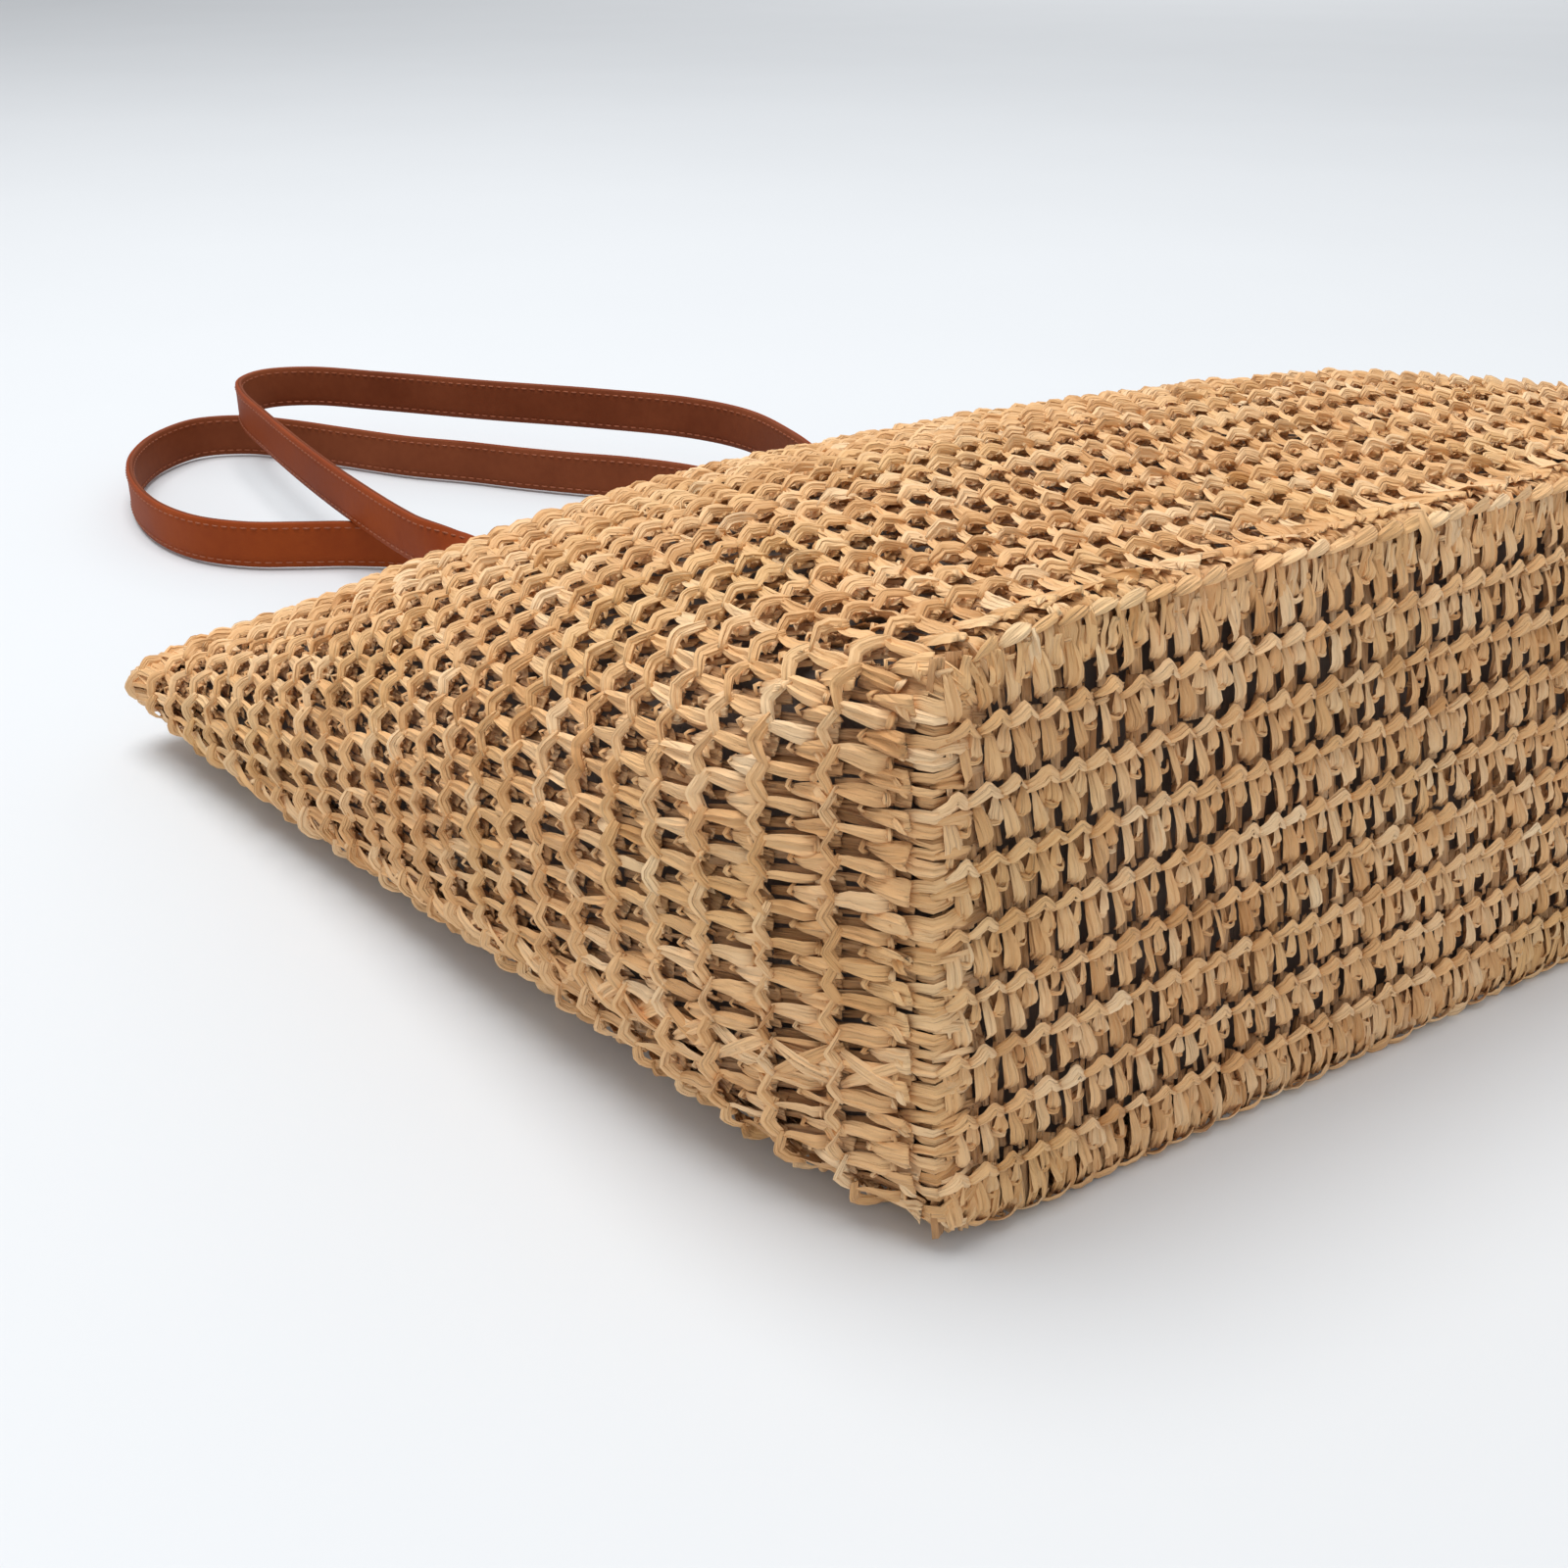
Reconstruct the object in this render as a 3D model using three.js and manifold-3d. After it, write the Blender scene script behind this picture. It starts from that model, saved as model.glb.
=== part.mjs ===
// A crocheted raffia beach tote lying on its front panel, with two flat leather shoulder straps.
// Millimetres, +Z up. X runs along the bag's base, Y from the base to the mouth and on to the straps.
// The back panel is the upper one, and the front panel lies on the ground.
import * as THREE from "three";
import { mergeVertices } from "three/addons/utils/BufferGeometryUtils.js";
import Module from "manifold-3d";

const wasm = await Module();
wasm.setup();

// ---- driving dimensions ----
const OVERALL_LENGTH = 706; // base face to the far end of the strap loops
const BAG_LENGTH = 371; // base to mouth, along the front panel
const BASE_HEIGHT = 140; // depth of the bag, which stands up while it lies
const BASE_Y = -OVERALL_LENGTH / 2;
const LEAN = 9; // the base's top edge stands this far behind its bottom edge
const DRAW = 12; // the mouth's upper lip stands this far short of the lower one
const CROCHET = 6; // thickness of the worked raffia
const GAP = 0.35; // between neighbouring pieces
const LINING = 1; // the lining cloth
const LINING_DEPTH = CROCHET + 1.2; // the lining hangs a little inside the crochet
const PATCH = 1.2;
const STRAP_WIDTH = 20;
const LAYER = 1.4; // one layer of strap leather
const STRAP_THICKNESS = 2 * LAYER + GAP;
const STRAP_SPACING = 170; // between a strap's two ends, centre to centre

// The bag's section changes from the base's rectangle to the mouth's flat lens. Each station gives, at a
// share of the bag's length, the half width, the rise above and below the widest line, how square the
// upper and lower halves are, and how far the front panel is lifted off the ground.
const STATIONS = {
  share: [0, 0.14, 0.35, 0.6, 0.82, 1],
  halfWidth: [164, 187, 199, 207, 218, 227],
  upper: [70, 77, 90, 82, 52, 16],
  lower: [70, 59, 42, 25, 18, 17],
  upperSquare: [12, 5, 3, 3, 2.6, 2.3],
  lowerSquare: [12, 6, 4.2, 3.8, 3.8, 2.6],
  lift: [0, 0, 0, 0, 4.5, 6.5],
};
const CORNER = Math.PI / 4; // angle of a base corner in the section's own measure
const BASE_SHARE = (CROCHET + 2 * GAP) / BAG_LENGTH; // where the walls start, just behind the base
const RIM_SHARE = 0.984; // where the walls end and the rim's edging starts
const PATCH_SHARES = [0.9, 0.965];
const END_SHARES = [0.87, 0.992];
const RIVET_SHARES = [0.915, 0.95];

// ---- materials ----
function finish(color, roughness, metalness = 0) {
  return new THREE.MeshStandardMaterial({ color, roughness, metalness });
}
const raffia = finish(0xc9a071, 0.75);
const liningCloth = finish(0x8b8781, 0.9);
const leather = finish(0x8c4623, 0.5);
const backingLeather = finish(0x7a3c20, 0.65);
const brass = finish(0xb08d4c, 0.35, 0.9);

// ---- shape helpers ----
// A curve through the stations with no overshoot between them.
function along(name, share) {
  const at = STATIONS.share;
  const values = STATIONS[name];
  const last = at.length - 1;
  const rate = (i) => (values[i + 1] - values[i]) / (at[i + 1] - at[i]);
  const slope = (i) => {
    if (i === 0) return rate(0);
    if (i === last) return rate(last - 1);
    const [a, b] = [rate(i - 1), rate(i)];
    return a * b <= 0 ? 0 : (2 * a * b) / (a + b);
  };
  let i = 0;
  while (i < last - 1 && share > at[i + 1]) i += 1;
  const step = at[i + 1] - at[i];
  const t = (share - at[i]) / step;
  const ease = t * t * (3 - 2 * t);
  const enter = t * (1 - t) * (1 - t) * slope(i) * step;
  const leave = t * t * (t - 1) * slope(i + 1) * step;
  return values[i] * (1 - ease) + values[i + 1] * ease + enter + leave;
}

// Y of a point at a share of the bag's length and a height above the ground.
function lengthwise(share, z) {
  const top = along("lift", share) + along("lower", share) + along("upper", share);
  const tilt = LEAN * (1 - share) - DRAW * share * share;
  return BASE_Y + BAG_LENGTH * share + (z / top) * tilt;
}

// A point of the wall by angle: 0 is the left edge, a quarter turn is the top, inset is the depth inside.
function wallPoint(share, angle, inset) {
  const upward = Math.sin(angle) >= 0;
  const square = along(upward ? "upperSquare" : "lowerSquare", share);
  const rise = along(upward ? "upper" : "lower", share) - inset;
  const c = Math.cos(angle);
  const s = Math.sin(angle);
  const reach = (Math.abs(c) ** square + Math.abs(s) ** square) ** (-1 / square);
  const x = -(along("halfWidth", share) - inset) * c * reach;
  const z = along("lift", share) + along("lower", share) + rise * s * reach;
  return new THREE.Vector3(x, lengthwise(share, z), z);
}

// A point of the back panel (side 1) or the front panel (side -1) by its own x.
function panelPoint(share, x, side, inset) {
  const square = along(side > 0 ? "upperSquare" : "lowerSquare", share);
  const rise = along(side > 0 ? "upper" : "lower", share) - inset;
  const ratio = Math.abs(x) / (along("halfWidth", share) - inset);
  const z = along("lift", share) + along("lower", share) + side * rise * (1 - ratio ** square) ** (1 / square);
  return new THREE.Vector3(x, lengthwise(share, z), z);
}

// A mesh from points and triangles, turned to face out whichever way the points ran.
function closedGeometry(points, triangles) {
  let volume = 0;
  for (const [a, b, c] of triangles) {
    volume += points[a].dot(new THREE.Vector3().crossVectors(points[b], points[c]));
  }
  const facing = volume < 0 ? triangles.map(([a, b, c]) => [a, c, b]) : triangles;
  const geometry = new THREE.BufferGeometry().setFromPoints(points);
  geometry.setIndex(facing.flat());
  geometry.computeVertexNormals();
  return geometry;
}

// A curved slab between two grids of points, outside(i, j) and inside(i, j), closed round its edges.
function slab(outside, inside, columns, rows) {
  const points = [];
  for (const face of [outside, inside]) {
    for (let j = 0; j <= rows; j += 1) {
      for (let i = 0; i <= columns; i += 1) points.push(face(i / columns, j / rows));
    }
  }
  const inner = (columns + 1) * (rows + 1);
  const at = (i, j) => j * (columns + 1) + i;
  const triangles = [];
  const quad = (a, b, c, d) => triangles.push([a, b, c], [a, c, d]);
  for (let j = 0; j < rows; j += 1) {
    for (let i = 0; i < columns; i += 1) {
      const corners = [at(i, j), at(i + 1, j), at(i + 1, j + 1), at(i, j + 1)];
      quad(...corners);
      quad(...corners.reverse().map((p) => p + inner));
    }
  }
  const edge = [];
  for (let i = 0; i < columns; i += 1) edge.push(at(i, 0));
  for (let j = 0; j < rows; j += 1) edge.push(at(columns, j));
  for (let i = columns; i > 0; i -= 1) edge.push(at(i, rows));
  for (let j = rows; j > 0; j -= 1) edge.push(at(0, j));
  edge.forEach((a, k) => {
    const b = edge[(k + 1) % edge.length];
    quad(b, a, a + inner, b + inner);
  });
  return closedGeometry(points, triangles);
}

function toManifold(geometry) {
  const bare = geometry.clone();
  for (const name of Object.keys(bare.attributes)) {
    if (name !== "position") bare.deleteAttribute(name);
  }
  const merged = mergeVertices(bare, 1e-4);
  return new wasm.Manifold(
    new wasm.Mesh({
      numProp: 3,
      vertProperties: merged.attributes.position.array,
      triVerts: new Uint32Array(merged.index.array),
    }),
  );
}

// The geometry with every tool's shape taken out of it.
function cut(geometry, tools) {
  let solid = toManifold(geometry);
  for (const tool of tools) solid = solid.subtract(toManifold(tool));
  const mesh = solid.getMesh();
  const result = new THREE.BufferGeometry();
  result.setAttribute("position", new THREE.BufferAttribute(mesh.vertProperties, 3));
  result.setIndex(new THREE.BufferAttribute(mesh.triVerts, 1));
  result.computeVertexNormals();
  return result;
}

const bag = new THREE.Group();
function add(name, geometry, material) {
  const mesh = new THREE.Mesh(geometry, material);
  mesh.name = name;
  bag.add(mesh);
}

// ---- rivets: their places are needed first, because the walls are drilled for them ----
const RIVET_HEAD = { radius: 4.5, rise: 1.1 };
const RIVET_POST = 1.8;
const RIVET_HOLE = 2.1;

// Outward direction of a panel, from two short steps across it.
function panelNormal(share, x, side) {
  const here = panelPoint(share, x, side, 0);
  const lengthStep = panelPoint(share + 0.004, x, side, 0).sub(here);
  const widthStep = panelPoint(share, x + 1, side, 0).sub(here);
  return widthStep.cross(lengthStep).normalize().multiplyScalar(side);
}

// Where a rivet stands: a matrix whose Y axis leaves the bag, and the depths of what it holds together.
function rivetPlace(share, x, side) {
  const origin = panelPoint(share, x, side, 0);
  const outward = panelNormal(share, x, side);
  const turn = new THREE.Quaternion().setFromUnitVectors(new THREE.Vector3(0, 1, 0), outward);
  const depth = (inset) => origin.clone().sub(panelPoint(share, x, side, inset)).dot(outward);
  return {
    matrix: new THREE.Matrix4().compose(origin, turn, new THREE.Vector3(1, 1, 1)),
    strapTop: -depth(-(GAP + STRAP_THICKNESS)),
    patchBottom: -depth(LINING_DEPTH + LINING + GAP + PATCH),
  };
}

const rivets = [];
for (const [panel, side] of [["back", 1], ["front", -1]]) {
  for (const [hand, x] of [["left", -STRAP_SPACING / 2], ["right", STRAP_SPACING / 2]]) {
    RIVET_SHARES.forEach((share, k) => {
      rivets.push({ name: `${panel}_rivet_${hand}_${k + 1}`, ...rivetPlace(share, x, side) });
    });
  }
}
const ROUND_SIDES = 14;
const rivetHoles = rivets.map(({ matrix }) => {
  return new THREE.CylinderGeometry(RIVET_HOLE, RIVET_HOLE, 50, ROUND_SIDES).applyMatrix4(matrix);
});

// A flat cap on a post, set against a wide cap inside, turned as one profile.
function rivetGeometry({ matrix, strapTop, patchBottom }) {
  const top = strapTop + GAP;
  const bottom = patchBottom - GAP;
  const profile = [
    [0, bottom - RIVET_HEAD.rise],
    [RIVET_HEAD.radius - 0.6, bottom - RIVET_HEAD.rise],
    [RIVET_HEAD.radius, bottom - RIVET_HEAD.rise / 2],
    [RIVET_HEAD.radius, bottom],
    [RIVET_POST, bottom],
    [RIVET_POST, top],
    [RIVET_HEAD.radius, top],
    [RIVET_HEAD.radius - 0.3, top + RIVET_HEAD.rise / 2],
    [RIVET_HEAD.radius - 1.5, top + RIVET_HEAD.rise],
    [0, top + RIVET_HEAD.rise],
  ].map(([r, y]) => new THREE.Vector2(r, y));
  return new THREE.LatheGeometry(profile, ROUND_SIDES).applyMatrix4(matrix);
}
rivets.forEach((rivet) => add(rivet.name, rivetGeometry(rivet), brass));

// ---- base: a flat crocheted rectangle inside its chain-stitched edge ----
function baseOutline(inset) {
  const sides = 96;
  const outline = [];
  for (let k = 0; k < sides; k += 1) {
    const p = wallPoint(0, (2 * Math.PI * k) / sides, inset);
    outline.push(new THREE.Vector2(p.x, p.z));
  }
  return outline;
}

// A flat plate of the base's outline, from one depth behind the base's face to another.
function basePlate(inset, near, far) {
  const shape = new THREE.Shape(baseOutline(inset));
  const plate = new THREE.ExtrudeGeometry(shape, { depth: far - near, bevelEnabled: false });
  plate.rotateX(Math.PI / 2);
  plate.translate(0, far, 0);
  const shear = new THREE.Matrix4().set(1, 0, 0, 0, 0, 1, LEAN / BASE_HEIGHT, BASE_Y, 0, 0, 1, 0, 0, 0, 0, 1);
  return plate.applyMatrix4(shear);
}
const CHAIN_WIDTH = 7;
add("base_panel", basePlate(CHAIN_WIDTH + GAP, 0, CROCHET), raffia);
add("base_edge_chain", cut(basePlate(0, 0, CROCHET), [basePlate(CHAIN_WIDTH, -1, CROCHET + 1)]), raffia);
add("lining_base", basePlate(LINING_DEPTH + LINING + GAP, LINING_DEPTH, LINING_DEPTH + LINING), liningCloth);

// ---- walls: the body is worked in rounds, and is told apart here at its four edges ----
const WALLS = [
  { name: "left_side", liningName: "lining_left", from: -CORNER, to: CORNER, columns: 12 },
  { name: "back_panel", liningName: "lining_back", from: CORNER, to: 3 * CORNER, columns: 16 },
  { name: "right_side", liningName: "lining_right", from: 3 * CORNER, to: 5 * CORNER, columns: 12 },
  { name: "front_panel", liningName: "lining_front", from: 5 * CORNER, to: 7 * CORNER, columns: 16 },
];
const EDGE_TRIM = 0.0018; // radians taken off each wall's edges, about half a gap

function wall({ from, to, columns }, outer, inner, shares, rows) {
  const angle = (i) => from + EDGE_TRIM + (to - from - 2 * EDGE_TRIM) * i;
  const share = (j) => shares[0] + (shares[1] - shares[0]) * j;
  return slab(
    (i, j) => wallPoint(share(j), angle(i), outer),
    (i, j) => wallPoint(share(j), angle(i), inner),
    columns,
    rows,
  );
}
const LINING_SHARES = [(LINING_DEPTH + LINING + 2 * GAP) / BAG_LENGTH, RIM_SHARE - 0.008];
for (const part of WALLS) {
  const holes = part.name.endsWith("panel") ? rivetHoles : [];
  const shell = wall(part, 0, CROCHET, [BASE_SHARE, RIM_SHARE], 22);
  const cloth = wall(part, LINING_DEPTH, LINING_DEPTH + LINING, LINING_SHARES, 22);
  add(part.name, cut(shell, holes), raffia);
  add(part.liningName, cut(cloth, holes), liningCloth);
}

// ---- rim: an edging round the mouth, back half and front half ----
for (const [name, from] of [["back_rim", 0], ["front_rim", Math.PI]]) {
  const half = { from, to: from + Math.PI, columns: 32 };
  add(name, wall(half, 0, CROCHET, [RIM_SHARE + (2 * GAP) / BAG_LENGTH, 1], 2), raffia);
}

// ---- strap ends and the patches behind them ----
// A rectangle of sheet lying on a panel, between two depths; a negative depth stands off the panel.
function panelSheet(shares, x, side, outer, inner, width) {
  const share = (j) => shares[0] + (shares[1] - shares[0]) * j;
  const across = (i) => x + (i - 0.5) * width;
  return slab(
    (i, j) => panelPoint(share(j), across(i), side, outer),
    (i, j) => panelPoint(share(j), across(i), side, inner),
    2,
    6,
  );
}
const PATCH_WIDTH = 26;
for (const [panel, side] of [["back", 1], ["front", -1]]) {
  for (const [hand, x] of [["left", -STRAP_SPACING / 2], ["right", STRAP_SPACING / 2]]) {
    const strapEnd = panelSheet(END_SHARES, x, side, -(GAP + STRAP_THICKNESS), -GAP, STRAP_WIDTH);
    const patchTop = LINING_DEPTH + LINING + GAP;
    const patch = panelSheet(PATCH_SHARES, x, side, patchTop, patchTop + PATCH, PATCH_WIDTH);
    add(`${panel}_strap_end_${hand}`, cut(strapEnd, rivetHoles), leather);
    add(`${panel}_patch_${hand}`, cut(patch, rivetHoles), backingLeather);
  }
}

// ---- straps ----
// Each route is a loop in plan, as the strap lies, in distances from the bag's middle and its base.
const BACK_ROUTE = [
  [-88, 395], [-93, 430], [-94, 490], [-92, 550], [-87, 620], [-82, 668], [-74, 692], [-58, 703], [-37, 696],
  [-10, 665], [27, 618], [66, 572], [96, 530], [107, 495], [103, 450], [92, 405],
];
const FRONT_ROUTE = [
  [-81, 395], [-70, 428], [-68, 458], [-78, 484], [-96, 500], [-114, 511], [-132, 523], [-147, 542],
  [-155, 568], [-156, 600], [-150, 636], [-139, 664], [-120, 690], [-96, 704.3], [-74, 697], [-56, 674],
  [-39, 645], [-19, 612], [1, 587], [18, 563], [36, 540], [54, 519], [73, 488], [84, 446], [86, 405],
];
const HINGE_REACH = 4; // the strap's bend takes this much on each side of its hinge line
const TWIST_LENGTH = 70; // over which a strap turns from lying flat to standing on its edge
const SETTLE_LENGTH = 45; // over which it reaches its lying height
const STRAP_RUNS = {
  back: { side: 1, route: BACK_ROUTE, height: STRAP_WIDTH * 1.5 + 0.8 },
  front: { side: -1, route: FRONT_ROUTE, height: STRAP_WIDTH / 2 + 0.2 },
};

// Middle of a strap end's outer edge, and the direction in which the strap leaves it.
function strapStart(x, side) {
  const middle = -(GAP + STRAP_THICKNESS / 2);
  const end = panelPoint(END_SHARES[1], x, side, middle);
  const before = panelPoint(END_SHARES[1] - 0.01, x, side, middle);
  return { end, leaving: end.clone().sub(before).normalize() };
}

function smooth(t) {
  const clamped = Math.min(Math.max(t, 0), 1);
  return clamped * clamped * (3 - 2 * clamped);
}

// The strap's middle line, from one side of the mouth round the loop to the other.
function strapLine({ side, route, height }) {
  const half = STRAP_SPACING / 2;
  const { end, leaving } = strapStart(-half, side);
  const first = end.clone().addScaledVector(leaving, 2 * HINGE_REACH);
  const plan = [new THREE.Vector3(-half, first.y, 0), new THREE.Vector3(-half, first.y + 6, 0)];
  for (const [x, y] of route) plan.push(new THREE.Vector3(x, BASE_Y + y, 0));
  plan.push(new THREE.Vector3(half, first.y + 6, 0), new THREE.Vector3(half, first.y, 0));
  const curve = new THREE.CatmullRomCurve3(plan, false, "centripetal");
  const length = curve.getLength();
  const steps = 90;
  return curve.getSpacedPoints(steps).map((p, k) => {
    const fromEnd = Math.min(k, steps - k) * (length / steps);
    const sink = leaving.z / leaving.y; // slope of the panel where the strap leaves it
    const onPanel = first.z + sink * fromEnd * (1 - smooth(fromEnd / SETTLE_LENGTH));
    const z = THREE.MathUtils.lerp(onPanel, height, smooth(fromEnd / SETTLE_LENGTH));
    return { middle: new THREE.Vector3(p.x, p.y, z), twist: (Math.PI / 2) * smooth(fromEnd / TWIST_LENGTH) };
  });
}

// One layer of a strap, from its face next to the middle line to its far face, both as distances outward.
function strapLayer(line, side, near, far) {
  const up = new THREE.Vector3(0, 0, 1);
  const points = [];
  line.forEach(({ middle, twist }, k) => {
    const ahead = line[Math.min(k + 1, line.length - 1)].middle.clone();
    const travel = ahead.sub(line[Math.max(k - 1, 0)].middle).normalize();
    const level = travel.clone().cross(up).normalize();
    const upright = level.clone().cross(travel);
    const across = level.multiplyScalar(Math.cos(twist)).addScaledVector(upright, side * Math.sin(twist));
    const outward = travel.clone().cross(across).multiplyScalar(-side);
    for (const [w, o] of [[-1, near], [1, near], [1, far], [-1, far]]) {
      points.push(middle.clone().addScaledVector(across, (w * STRAP_WIDTH) / 2).addScaledVector(outward, o));
    }
  });
  const triangles = [];
  for (let k = 0; k < line.length - 1; k += 1) {
    for (let c = 0; c < 4; c += 1) {
      const [a, b] = [4 * k + c, 4 * k + ((c + 1) % 4)];
      triangles.push([a, b, b + 4], [a, b + 4, a + 4]);
    }
  }
  const last = 4 * (line.length - 1);
  triangles.push([0, 2, 1], [0, 3, 2], [last, last + 1, last + 2], [last, last + 2, last + 3]);
  return closedGeometry(points, triangles);
}

for (const [panel, run] of Object.entries(STRAP_RUNS)) {
  const line = strapLine(run);
  add(`${panel}_strap_face`, strapLayer(line, run.side, GAP / 2, GAP / 2 + LAYER), leather);
  add(`${panel}_strap_backing`, strapLayer(line, run.side, -GAP / 2, -GAP / 2 - LAYER), backingLeather);
}

export default bag;
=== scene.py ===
"""A crocheted raffia beach bag with leather shoulder straps, lying on its front panel.

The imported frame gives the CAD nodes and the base's place, and the sizes below are the CAD part's own.
Lengths are in millimetres until a mesh is made, and MM turns them into metres.
Each crochet stitch is built from several separate flat ribbons of raffia laid over the bag's own surface.
"""

import math

import bpy
import numpy as np
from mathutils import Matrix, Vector


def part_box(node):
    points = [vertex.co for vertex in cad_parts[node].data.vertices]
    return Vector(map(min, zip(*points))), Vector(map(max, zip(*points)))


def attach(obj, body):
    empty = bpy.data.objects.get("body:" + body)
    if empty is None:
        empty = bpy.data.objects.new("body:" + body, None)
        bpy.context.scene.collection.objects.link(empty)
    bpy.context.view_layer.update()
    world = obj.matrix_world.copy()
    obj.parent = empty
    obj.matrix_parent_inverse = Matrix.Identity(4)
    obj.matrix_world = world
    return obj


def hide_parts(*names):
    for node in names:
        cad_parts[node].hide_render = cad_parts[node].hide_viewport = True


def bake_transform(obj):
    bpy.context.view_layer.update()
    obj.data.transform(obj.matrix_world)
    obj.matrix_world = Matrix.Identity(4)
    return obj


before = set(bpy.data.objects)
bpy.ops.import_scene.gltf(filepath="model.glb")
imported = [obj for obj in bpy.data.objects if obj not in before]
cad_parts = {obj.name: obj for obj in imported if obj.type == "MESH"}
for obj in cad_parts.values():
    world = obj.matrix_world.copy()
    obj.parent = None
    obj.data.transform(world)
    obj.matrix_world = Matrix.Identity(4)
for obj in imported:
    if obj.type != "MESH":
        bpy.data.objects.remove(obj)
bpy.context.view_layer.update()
MM = 0.001

# ---- sizes shared with the CAD part ----
BASE_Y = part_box("base_edge_chain")[0].y / MM
BASE_HEIGHT = 140.0
BAG_LENGTH = 371.0
LEAN = 9.0  # the base's top edge stands this far behind its bottom edge
DRAW = 12.0  # the mouth's upper lip stands this far short of the lower one
CROCHET = 6.0
LINING = 1.0
LINING_DEPTH = CROCHET + 1.2
GAP = 0.35
LAYER = 1.4
STRAP_WIDTH = 20.0
STRAP_THICKNESS = 2 * LAYER + GAP
STRAP_SPACING = 170.0
END_SHARES = (0.87, 0.992)
HINGE_REACH = 4.0
TWIST_LENGTH = 70.0
SETTLE_LENGTH = 45.0
STATIONS = {
    "share": [0, 0.14, 0.35, 0.6, 0.82, 1],
    "halfWidth": [164, 187, 199, 207, 218, 227],
    "upper": [70, 77, 90, 82, 52, 16],
    "lower": [70, 59, 42, 25, 18, 17],
    "upperSquare": [12, 5, 3, 3, 2.6, 2.3],
    "lowerSquare": [12, 6, 4.2, 3.8, 3.8, 2.6],
    "lift": [0, 0, 0, 0, 4.5, 6.5],
}

# ---- crochet counts ----
ROUNDS = 24
STITCHES = 115  # in each round of the body
BASE_ROWS = 9
BASE_STITCHES = 42
WALL_SHARES = (0.011, 0.985)
EDGE_RADIUS = CROCHET / 2
RIBBON = 0.4  # thickness of one raffia ribbon
ROUNDS_PER_PIECE = 2
SHORT_END = 0.97  # how far towards the corners the base's short ends reach
BASE_SPLIT = 5  # rows of the base that are in its upper piece
BASE_STAGGER = 0.15  # stitches that the base's rows shift by, to one side and the other in turn


# ---- the bag's surface, as the CAD part has it ----
def along(name, share):
    """A station value at a share of the bag's length, with no overshoot between stations."""
    at = np.array(STATIONS["share"], float)
    values = np.array(STATIONS[name], float)
    rates = np.diff(values) / np.diff(at)
    product = rates[:-1] * rates[1:]
    total = rates[:-1] + rates[1:]
    inner = np.where(product <= 0, 0, 2 * product / np.where(total == 0, 1, total))
    slopes = np.concatenate([rates[:1], inner, rates[-1:]])
    share = np.asarray(share, float)
    i = np.clip(np.searchsorted(at, share) - 1, 0, len(at) - 2)
    step = at[i + 1] - at[i]
    t = (share - at[i]) / step
    ease = t * t * (3 - 2 * t)
    enter = t * (1 - t) ** 2 * slopes[i] * step
    leave = t * t * (t - 1) * slopes[i + 1] * step
    return values[i] * (1 - ease) + values[i + 1] * ease + enter + leave


def section_point(share, x, z):
    """A point at a share of the bag's length, from its x and its height."""
    top = along("lift", share) + along("lower", share) + along("upper", share)
    y = BASE_Y + BAG_LENGTH * share + z / top * (LEAN * (1 - share) - DRAW * share**2)
    return np.stack(np.broadcast_arrays(x, y, z), -1)


def wall_point(share, angle, inset=0.0):
    """A point of the wall: angle 0 is the left edge and a quarter turn is the top."""
    share, angle = np.broadcast_arrays(share, angle)
    c, s = np.cos(angle), np.sin(angle)
    square = np.where(s >= 0, along("upperSquare", share), along("lowerSquare", share))
    rise = np.where(s >= 0, along("upper", share), along("lower", share)) - inset
    reach = (np.abs(c) ** square + np.abs(s) ** square) ** (-1 / square)
    x = -(along("halfWidth", share) - inset) * c * reach
    z = along("lift", share) + along("lower", share) + rise * s * reach
    return section_point(share, x, z)


def panel_point(share, x, side, inset):
    """A point of the back panel (side 1) or front panel (side -1) by its own x."""
    square = along("upperSquare" if side > 0 else "lowerSquare", share)
    rise = along("upper" if side > 0 else "lower", share) - inset
    ratio = np.abs(x) / (along("halfWidth", share) - inset)
    z = along("lift", share) + along("lower", share) + side * rise * (1 - ratio**square) ** (1 / square)
    return section_point(share, x, z)


def unit(vectors):
    """The same directions with a length of one."""
    return vectors / np.maximum(np.linalg.norm(vectors, axis=-1, keepdims=True), 1e-12)


def wall_frame(share, angle):
    """A wall point, its outward direction, and the direction towards the mouth."""
    step = 1e-4
    point = wall_point(share, angle)
    turn = wall_point(share, angle + step) - wall_point(share, angle - step)
    run = wall_point(share + step, angle) - wall_point(share - step, angle)
    outward = unit(np.cross(turn, run))
    return point, outward, unit(run)


# Angles at even distances round the bag. They run down the left side, under the front panel
# and back over the top.
ROUND_START = -0.35
TABLE_SHARES = np.linspace(0, 1, 61)
TABLE_STEPS = 720
MEASURING_STEPS = 4 * TABLE_STEPS


def even_angles(share):
    """Angles at even distances round the bag, at a share of its length."""
    angles = ROUND_START - np.linspace(0, 2 * math.pi, MEASURING_STEPS + 1)
    steps = np.linalg.norm(np.diff(wall_point(share, angles), axis=0), axis=1)
    distance = np.concatenate([[0], np.cumsum(steps)])
    return np.interp(np.linspace(0, distance[-1], TABLE_STEPS + 1), distance, angles)


ANGLE_TABLE = np.array([even_angles(share) for share in TABLE_SHARES])


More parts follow.
